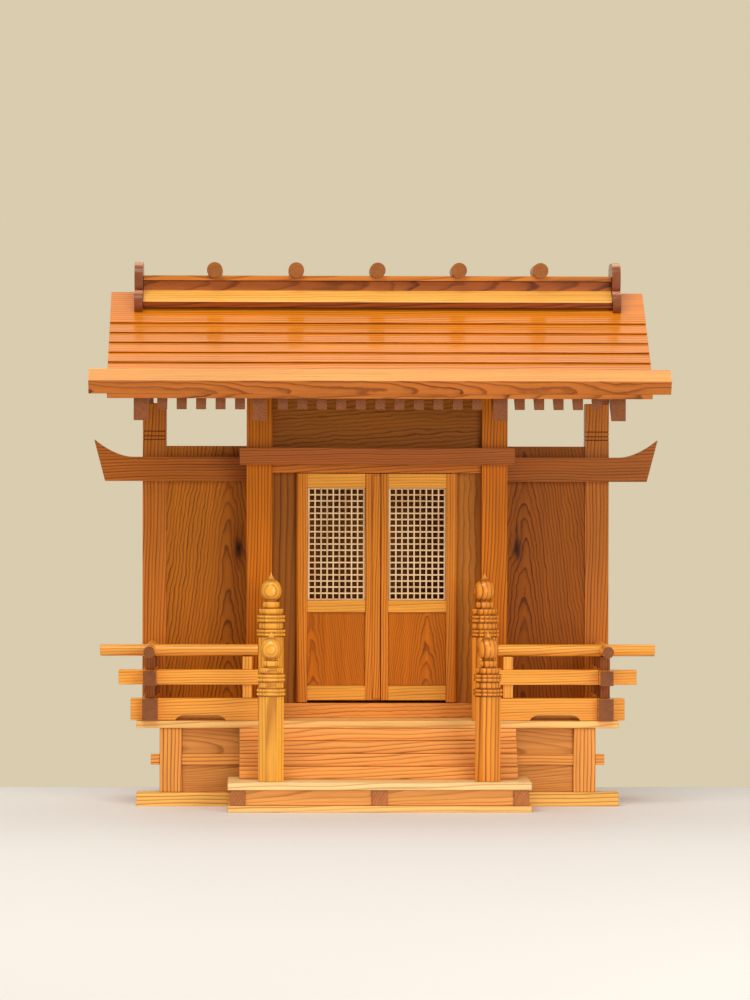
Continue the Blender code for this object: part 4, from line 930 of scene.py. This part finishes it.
def make_leaf_frame(side):
    """Stiles and rails of a leaf, with the meeting strip on the left one."""
    node = f"door_{SIDE_NAMES[side]}_frame"
    low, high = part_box(node)
    hanging_edge = side * (DOOR_PAIR_WIDTH / 2 - HANGING_STILE)
    meeting_edge = side * (STRIP_WIDTH / 2 + MEETING_STILE)
    back = LEAF_FRONT + LEAF_THICKNESS
    middle = LEAF_FRONT + LEAF_THICKNESS / 2
    hinge = side * (DOOR_PAIR_WIDTH / 2 - LEAF_THICKNESS / 2)
    foot = DOOR_BOTTOM - STILE_FOOT_DROP
    leaf = Joinery(node + "_boards")
    stile = prism(stile_outline(side, hanging_edge, hinge), "z", foot, DOOR_TOP)
    leaf.add(stile, "door_frame", "z", (0.05 * side, 0.01), edge=THIN_EDGE)
    for start, end in ((low.z, foot), (DOOR_TOP, high.z)):
        pin = rod((hinge, middle, start), (hinge, middle, end), PIN_RADIUS, PIN_SEGMENTS)
        leaf.add(pin, "door_frame", "z", (0.01, 0.01), edge=0.0)
    seam = STRIP_WIDTH / 2 + side * LEAF_GAP / 2
    start = (seam, LEAF_FRONT, DOOR_BOTTOM)
    leaf.board(start, (meeting_edge, back, DOOR_TOP), "door_frame", "z", (0.05, 0.01))
    for bottom, top in DOOR_RAILS:
        start = (meeting_edge, LEAF_FRONT + DOOR_RAIL_INSET, DOOR_BOTTOM + bottom)
        end = (hanging_edge, back - DOOR_RAIL_INSET, DOOR_BOTTOM + top)
        leaf.board(start, end, "door_rail", "x", (0.008, 0.06))
    if side == LEFT:
        start = (seam - STRIP_WIDTH, low.y, DOOR_BOTTOM + STRIP_SHORT)
        end = (seam, LEAF_FRONT - SEAM, DOOR_TOP - STRIP_SHORT)
        leaf.board(start, end, "door_frame", "z", (0.05, 0.01))
    leaf.finish([node], body=f"door_{SIDE_NAMES[side]}")


def lattice_bars(low, high, margin, count):
    """Both edges of every bar across a lattice, the margins included."""
    pitch = (high - low - 2 * margin + LATTICE_BAR) / count
    bars = [(low, low + margin)]
    for index in range(1, count):
        start = low + margin + index * pitch - LATTICE_BAR
        bars.append((start, start + LATTICE_BAR))
    bars.append((high - margin, high))
    return bars


def make_lattice(side):
    """Upright bars with level ones a hair behind them, crossing in their thickness."""
    node = f"door_{SIDE_NAMES[side]}_lattice"
    low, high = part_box(node)
    lattice = Joinery(node + "_bars")
    for start, end in lattice_bars(low.x, high.x, LATTICE_SIDE_MARGIN, LATTICE_COLUMNS):
        foot = (start, low.y, low.z)
        lattice.board(foot, (end, high.y, high.z), "lattice", "z", (0.03, 0.03), BAR_EDGE)
    near = low.y + LATTICE_BAR_SETBACK
    far = high.y - LATTICE_BAR_SETBACK
    for start, end in lattice_bars(low.z, high.z, LATTICE_END_MARGIN, LATTICE_ROWS):
        left = (low.x + SEAM, near, start)
        lattice.board(left, (high.x - SEAM, far, end), "lattice", "x", (0.03, 0.03), BAR_EDGE)
    lattice.finish([node], body=f"door_{SIDE_NAMES[side]}")


# Side screens

def make_screen_cap(side):
    """The rail across a screen, whose top sweeps up to its tip."""
    node = f"screen_cap_{SIDE_NAMES[side]}"
    low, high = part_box(node)
    start = min((low.x, high.x), key=abs)
    shoulder = low.z + SCREEN_CAP_HEIGHT
    outline = [(start, low.z), (side * SCREEN_CAP_HEEL, low.z)]
    for index in range(SCREEN_CAP_STEPS + 1):
        share = 1 - index / SCREEN_CAP_STEPS
        x = SCREEN_CAP_CURVE_START + (SCREEN_CAP_TIP - SCREEN_CAP_CURVE_START) * share
        outline.append((side * x, shoulder + SCREEN_CAP_RISE * share**SCREEN_CAP_CURVE_POWER))
    outline.append((start, shoulder))
    cap = Joinery(node + "_board")
    cap.add(prism(outline, "y", low.y, high.y), "screen_cap", "x", (0.01, 0.06))
    cap.finish([node])


def make_screen_panel(side):
    """The board of a screen, with its knot, let into the outer post."""
    node = f"screen_panel_{SIDE_NAMES[side]}"
    look = "wall" if side == LEFT else "wall_deep"
    low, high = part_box(node)
    inner, outer = sorted((low.x, high.x), key=abs)
    start = (inner, low.y, low.z)
    end = (outer + side * SCREEN_TONGUE, high.y, high.z)
    heart = (-side * SCREEN_HEART[0], SCREEN_HEART[1])
    panel = Joinery(node + "_board")
    panel.board(start, end, look, "z", heart)
    item = panel.finish([node])
    space = wood_space(low, high, "z", heart, seed_of(node))
    knot = (space @ Vector((KNOT_X[side], low.y, KNOT_Z)), KNOT_WIDTH, KNOT_LENGTH)
    item.data.materials[0] = wood_material(node + "_wood", look, space, knot)


# Roof

def slope_point(side, along, above):
    """A point (y, z) at a distance down a slope and above its sheathing's underside."""
    run = along * cos(ROOF_PITCH) + above * sin(ROOF_PITCH)
    height = above * cos(ROOF_PITCH) - along * sin(ROOF_PITCH)
    return (RIDGE_Y + side * run, ROOF_APEX_Z + height)


def slope_length(side):
    """Length of the sheathing from the ridge to its eave edge."""
    run = FRONT_RUN if side == FRONT else BACK_RUN
    return (run - EAVE_TOP * sin(ROOF_PITCH)) / cos(ROOF_PITCH)


def ridge_cut(above):
    """Where a layer of the roof ends on the upright plane through the ridge."""
    return (HALF_RIDGE_SEAM - above * sin(ROOF_PITCH)) / cos(ROOF_PITCH)


def under_roof(y, drop):
    """Height of the line that runs an upright drop below the sheathing's underside."""
    return ROOF_APEX_Z - tan(ROOF_PITCH) * abs(y - RIDGE_Y) - drop


def over_roof(reach):
    """Seat on the shingles at a distance in front of or behind the ridge."""
    above = (SHINGLE_BASE + SHINGLE_THICKNESS + GLUE_LINE) / cos(ROOF_PITCH)
    return ROOF_APEX_Z + above - tan(ROOF_PITCH) * reach


def rafter_rows():
    """Place, width and drop of every rafter: four main ones with small ones between."""
    rows = [(0.0, *SMALL_RAFTER)]
    for side in (LEFT, RIGHT):
        rows += [(side * x, *MAIN_RAFTER) for x in (HALL_RAFTER_X, OUTER_RAFTER_X)]
        for start in (0.0, HALL_RAFTER_X):
            for index in range(1, SMALL_RAFTERS_A_BAY + 1):
                rows.append((side * (start + index * RAFTER_PITCH), *SMALL_RAFTER))
    return rows


def make_slope(name, side):
    """The sheathing of a slope, and its rafters as boards of their own."""
    low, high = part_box(f"roof_{name}")
    length = slope_length(side)
    slope = Joinery(f"roof_{name}_boards")
    points = [(ridge_cut(0.0), 0.0), (length, 0.0)]
    points += [(length, SHEATHING), (ridge_cut(SHEATHING), SHEATHING)]
    sheathing = prism([slope_point(side, *point) for point in points], "x", low.x, high.x)
    slope.add(sheathing, "eave", "x", (0.05, 0.05))
    upper = RIDGE_Y + side * GLUE_LINE
    lower = slope_point(side, length, 0.0)[0] - side * RAFTER_END_INSET
    grain = (0.0, side * cos(ROOF_PITCH), -sin(ROOF_PITCH))
    for index, (x, width, drop) in enumerate(rafter_rows()):
        corners = ((upper, SEAM), (lower, SEAM), (lower, drop), (upper, drop))
        outline = [(y, under_roof(y, depth)) for y, depth in corners]
        heart = (0.006 + 0.004 * (index % 4), 0.01 + 0.005 * (index % 3))
        rafter = prism(outline, "x", x - width / 2, x + width / 2)
        slope.add(rafter, "rafter", grain, heart, edge=THIN_EDGE)
    slope.finish([f"roof_{name}"])


def make_shingles(name, side):
    """Lapped boards: each tapers up the slope and stands off the one below at its butt."""
    low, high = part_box(f"shingles_{name}")
    start = slope_length(side) - EAVE_WIDTH - GLUE_LINE
    count = int((start - TOP_BOARD_LEAST) / SHINGLE_EXPOSURE)
    top = SHINGLE_BASE + SHINGLE_THICKNESS
    roof = Joinery(f"shingle_boards_{name}")
    for index in range(count + 1):
        butt = start - index * SHINGLE_EXPOSURE
        if index < count:
            tail = head = butt - SHINGLE_EXPOSURE - SHINGLE_LAP
            crown = top - SHINGLE_STEP * (1 + SHINGLE_LAP / SHINGLE_EXPOSURE)
        else:
            tail, head, crown = ridge_cut(SHINGLE_BASE), ridge_cut(top), top
        points = [(head, crown), (tail, SHINGLE_BASE)]
        if index == 0:
            points.append((butt, SHINGLE_BASE))
        else:
            step = butt - SHINGLE_LAP
            foot = top - SHINGLE_STEP + SHINGLE_UNDERCUT
            points += [(step, SHINGLE_BASE), (step, foot), (butt, foot)]
        points.append((butt, top))
        board = prism([slope_point(side, *point) for point in points], "x", low.x, high.x)
        roof.add(board, "shingle", "x", (0.02 + 0.01 * index, 0.05), edge=BAR_EDGE)
    roof.finish([f"shingles_{name}"])


def flashing_top(reach):
    """Height of the sloping ridge board at a distance from the ridge."""
    edge = over_roof(FLASHING_REACH) + FLASHING_LIFT + FLASHING_THICKNESS
    return edge + (FLASHING_REACH - reach) * tan(ROOF_PITCH)


def ridge_section(side, points):
    """An outline from points given by their reach from the ridge and their height."""
    return [(RIDGE_Y + side * reach, height) for reach, height in points]


def make_ridge_body():
    """The ridge: a foot, sloping boards over it, and the upright boards above them."""
    low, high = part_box("ridge_body")
    ridge = Joinery("ridge_boards")
    foot_top = flashing_top(RIDGE_FOOT) - FLASHING_THICKNESS - SEAM
    foot = [(0.0, over_roof(0.0)), (RIDGE_FOOT, over_roof(RIDGE_FOOT))]
    foot += [(RIDGE_FOOT, foot_top), (0.0, foot_top)]
    # Each sloping board is a pale top layer over a dark layer of the same board: the dark layer is
    # painted shade on its front edge, and the top layer's thin edge a painted highlight
    layers = (
        (FLASHING_THICKNESS, FLASHING_FACE + SEAM, "flashing_painted_shade"),
        (FLASHING_FACE, 0.0, "flashing"),
    )
    inner = (RIDGE_BOARD_HALF, flashing_top(RIDGE_BOARD_HALF))
    outer = (FLASHING_REACH, flashing_top(FLASHING_REACH))
    for side in (FRONT, BACK):
        board = prism(ridge_section(side, foot), "x", low.x, high.x)
        ridge.add(board, "ridge", "x", (0.03, 0.05))
        for under, over, look in layers:
            sloping = [(reach, top - under) for reach, top in (inner, outer)]
            sloping += [(reach, top - over) for reach, top in (outer, inner)]
            board = prism(ridge_section(side, sloping), "x", low.x, high.x)
            ridge.add(board, look, "x", (0.04, 0.03), edge=BAR_EDGE)
    start = (low.x, RIDGE_Y - RIDGE_BOARD_HALF + SEAM, flashing_top(RIDGE_FOOT) - FLASHING_THICKNESS)
    ridge_top = flashing_top(RIDGE_BOARD_HALF) + RIDGE_BOARD_RISE
    end = (high.x, RIDGE_Y + RIDGE_BOARD_HALF - SEAM, ridge_top)
    ridge.board(start, end, "ridge", "x", (0.05, 0.01))
    ridge.finish(["ridge_body"])


def make_ridge_cap():
    """The board on the ridge, with logs across it."""
    low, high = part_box("ridge_cap")
    cap = Joinery("ridge_cap_and_logs")
    start = (low.x, RIDGE_Y - CAP_HALF_DEPTH, low.z)
    end = (high.x, RIDGE_Y + CAP_HALF_DEPTH, low.z + CAP_THICKNESS)
    cap.board(start, end, "cap", "x", (0.05, 0.02))
    for index in range(LOG_COUNT):
        x = (index - (LOG_COUNT - 1) / 2) * LOG_PITCH
        z = low.z + CAP_THICKNESS + LOG_RADIUS - LOG_NOTCH
        log = rod((x, RIDGE_Y - LOG_LENGTH / 2, z), (x, RIDGE_Y + LOG_LENGTH / 2, z), LOG_RADIUS)
        cap.add(log, "log", "y", (0.008 + 0.004 * index, 0.03), edge=LOG_EDGE)
    cap.finish(["ridge_cap"])


def make_ridge_ends():
    """The two-lobed boards at both ends of the ridge."""
    foot = over_roof(END_FOOT)
    waist = foot + END_WAIST_RISE
    top = foot + END_HEIGHT
    half = [(0.0, over_roof(0.0)), (END_FOOT, foot)]
    for low, high, start, bulge, crown in (
        (foot, waist, END_FOOT, END_LOWER_LOBE, END_WAIST),
        (waist, top, END_WAIST, END_UPPER_LOBE, END_TOP_HALF),
    ):
        for index in range(1, END_LOBE_STEPS + 1):
            turn = pi * index / END_LOBE_STEPS - pi / 2
            base = start if turn < 0 else crown
            reach = base + (bulge - base) * cos(turn)
            half.append((reach, (low + high) / 2 + (high - low) / 2 * sin(turn)))
    outline = ridge_section(FRONT, half) + ridge_section(BACK, reversed(half[1:]))
    for side in (LEFT, RIGHT):
        node = f"ridge_end_{SIDE_NAMES[side]}"
        low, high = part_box(node)
        board = Joinery(node + "_board")
        board.add(prism(outline, "x", low.x, high.x), "ridge_end", "y", (0.01, 0.04))
        board.finish([node])


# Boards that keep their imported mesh

def dress_nodes():
    """Wood for every node that keeps its mesh."""
    for node in ("deck", "platform_bottom"):
        dress(node, "pale", "x", (0.02, 0.06))
    dress("platform_top", "pale_light", "x", (0.02, 0.06))
    for step in range(1, 5):
        dress(f"stair_step_{step}", "stair", "x", (0.03 + 0.01 * step, 0.05))
    for name in ("front", "back"):
        dress(f"base_panel_{name}", "panel", "x", (0.045, 0.01))
        dress(f"eave_{name}", "eave", "x", (0.03, 0.012))
    for name in ("left", "right"):
        dress(f"base_panel_{name}", "panel", "y", (0.045, 0.01))
        dress(f"hall_post_{name}", "post_brown", "z", (0.07, 0.015))
        dress(f"side_wall_{name}", "wall", "z", (0.05, 0.02))
        dress(f"screen_post_{name}", "screen_post", "z", (0.06, 0.015), edge=0.0)
    dress("door_left_panel", "door_panel", "z", (-0.026, 0.008))
    dress("door_right_panel", "door_panel", "z", (0.01, 0.008))
    dress("back_wall", "wall", "z", (0.01, 0.04))
    dress("front_panel_left", "front_panel", "z", (0.06, 0.02))
    dress("front_panel_right", "front_panel_light", "z", (0.06, 0.02))
    dress("door_sill", "door_sill", "x", (0.01, 0.03))
    dress("lintel", "lintel", "x", (0.012, 0.07))
    dress("head_beam", "beam", "x", (0.012, 0.07))
    dress("transom_panel", "dark", "x", (0.01, 0.02))


# Studio

def area_lamp(name, place, size, energy, colour):
    """A soft rectangular lamp that faces the shrine."""
    data = bpy.data.lights.new(name, "AREA")
    data.shape = "RECTANGLE"
    data.size, data.size_y = size
    data.energy = energy
    data.color = colour
    lamp = new_object(name, data)
    lamp.location = place
    way = Vector(LAMP_TARGET) - Vector(place)
    lamp.rotation_euler = way.to_track_quat("-Z", "Y").to_euler()


def make_lights():
    """A key high above the front, a weaker fill low at its right, and one behind the roof."""
    area_lamp("key", (-0.5, -1.5, 2.5), (1.8, 1.4), 43.0, KEY_TINT)
    area_lamp("front_fill", (1.35, -2.8, 0.8), (1.4, 1.4), 30.0, FILL_TINT)
    area_lamp("top", (0.0, 1.15, 2.6), (2.4, 1.3), 15.0, FILL_TINT)


def make_world():
    """Pale surroundings: one colour where they are seen, and a weaker one as light."""
    world = bpy.data.worlds.new("pale_room")
    bpy.context.scene.world = world
    world.use_nodes = True
    tree = world.node_tree
    shown = tree.nodes["Background"]
    feed(tree, shown, {"Color": linear(BACKGROUND_COLOUR), "Strength": 1.0})
    light = tree.nodes.new("ShaderNodeBackground")
    feed(tree, light, {"Color": linear(ROOM_LIGHT_COLOUR), "Strength": ROOM_LIGHT_STRENGTH})
    path = tree.nodes.new("ShaderNodeLightPath")
    seen = calc(tree, "MAXIMUM", path.outputs["Is Camera Ray"], path.outputs["Is Glossy Ray"])
    mix = tree.nodes.new("ShaderNodeMixShader")
    feed(tree, mix, {0: seen, 1: light.outputs[0], 2: shown.outputs[0]})
    feed(tree, tree.nodes["World Output"], {"Surface": mix.outputs[0]})


def make_floor():
    """The plain pale shelf top that the shrine stands on."""
    half = FLOOR_HALF_WIDTH
    corners = ((-half, FLOOR_FRONT), (half, FLOOR_FRONT), (half, FLOOR_BACK), (-half, FLOOR_BACK))
    mesh = bpy.data.meshes.new("floor")
    mesh.from_pydata([(x, y, 0.0) for x, y in corners], [], [(0, 1, 2, 3)])
    floor = new_object("floor", mesh)
    material, tree, shader = new_material("pale_floor")
    feed(tree, shader, {"Base Color": linear(FLOOR_COLOUR), "Roughness": 0.6})
    mesh.materials.append(material)


def make_camera():
    """The photograph's view."""
    data = bpy.data.cameras.new("camera")
    data.sensor_width = SENSOR
    data.lens = FOCAL_PIXELS * SENSOR / IMAGE_HEIGHT
    data.clip_end = 50.0
    camera = new_object("camera", data)
    camera.location = CAMERA_PLACE
    way = Vector(CAMERA_WAY).normalized()
    turn = Matrix.Rotation(CAMERA_ROLL, 4, way) @ way.to_track_quat("-Z", "Y").to_matrix().to_4x4()
    camera.rotation_euler = turn.to_euler()
    bpy.context.scene.camera = camera


def main():
    make_camera()
    make_world()
    make_lights()
    make_floor()
    make_ground_sill()
    make_base_framing()
    make_platform_core()
    make_finial_posts()
    for side in (LEFT, RIGHT):
        make_bottom_rails(side)
        make_middle_rails(side)
        make_top_rails(side)
        make_leaf_frame(side)
        make_lattice(side)
        make_screen_cap(side)
        make_screen_panel(side)
    for name, side in (("front", FRONT), ("back", BACK)):
        make_slope(name, side)
        make_shingles(name, side)
    make_ridge_body()
    make_ridge_cap()
    make_ridge_ends()
    dress_nodes()


main()
bpy.context.scene.view_settings.view_transform = "Standard"
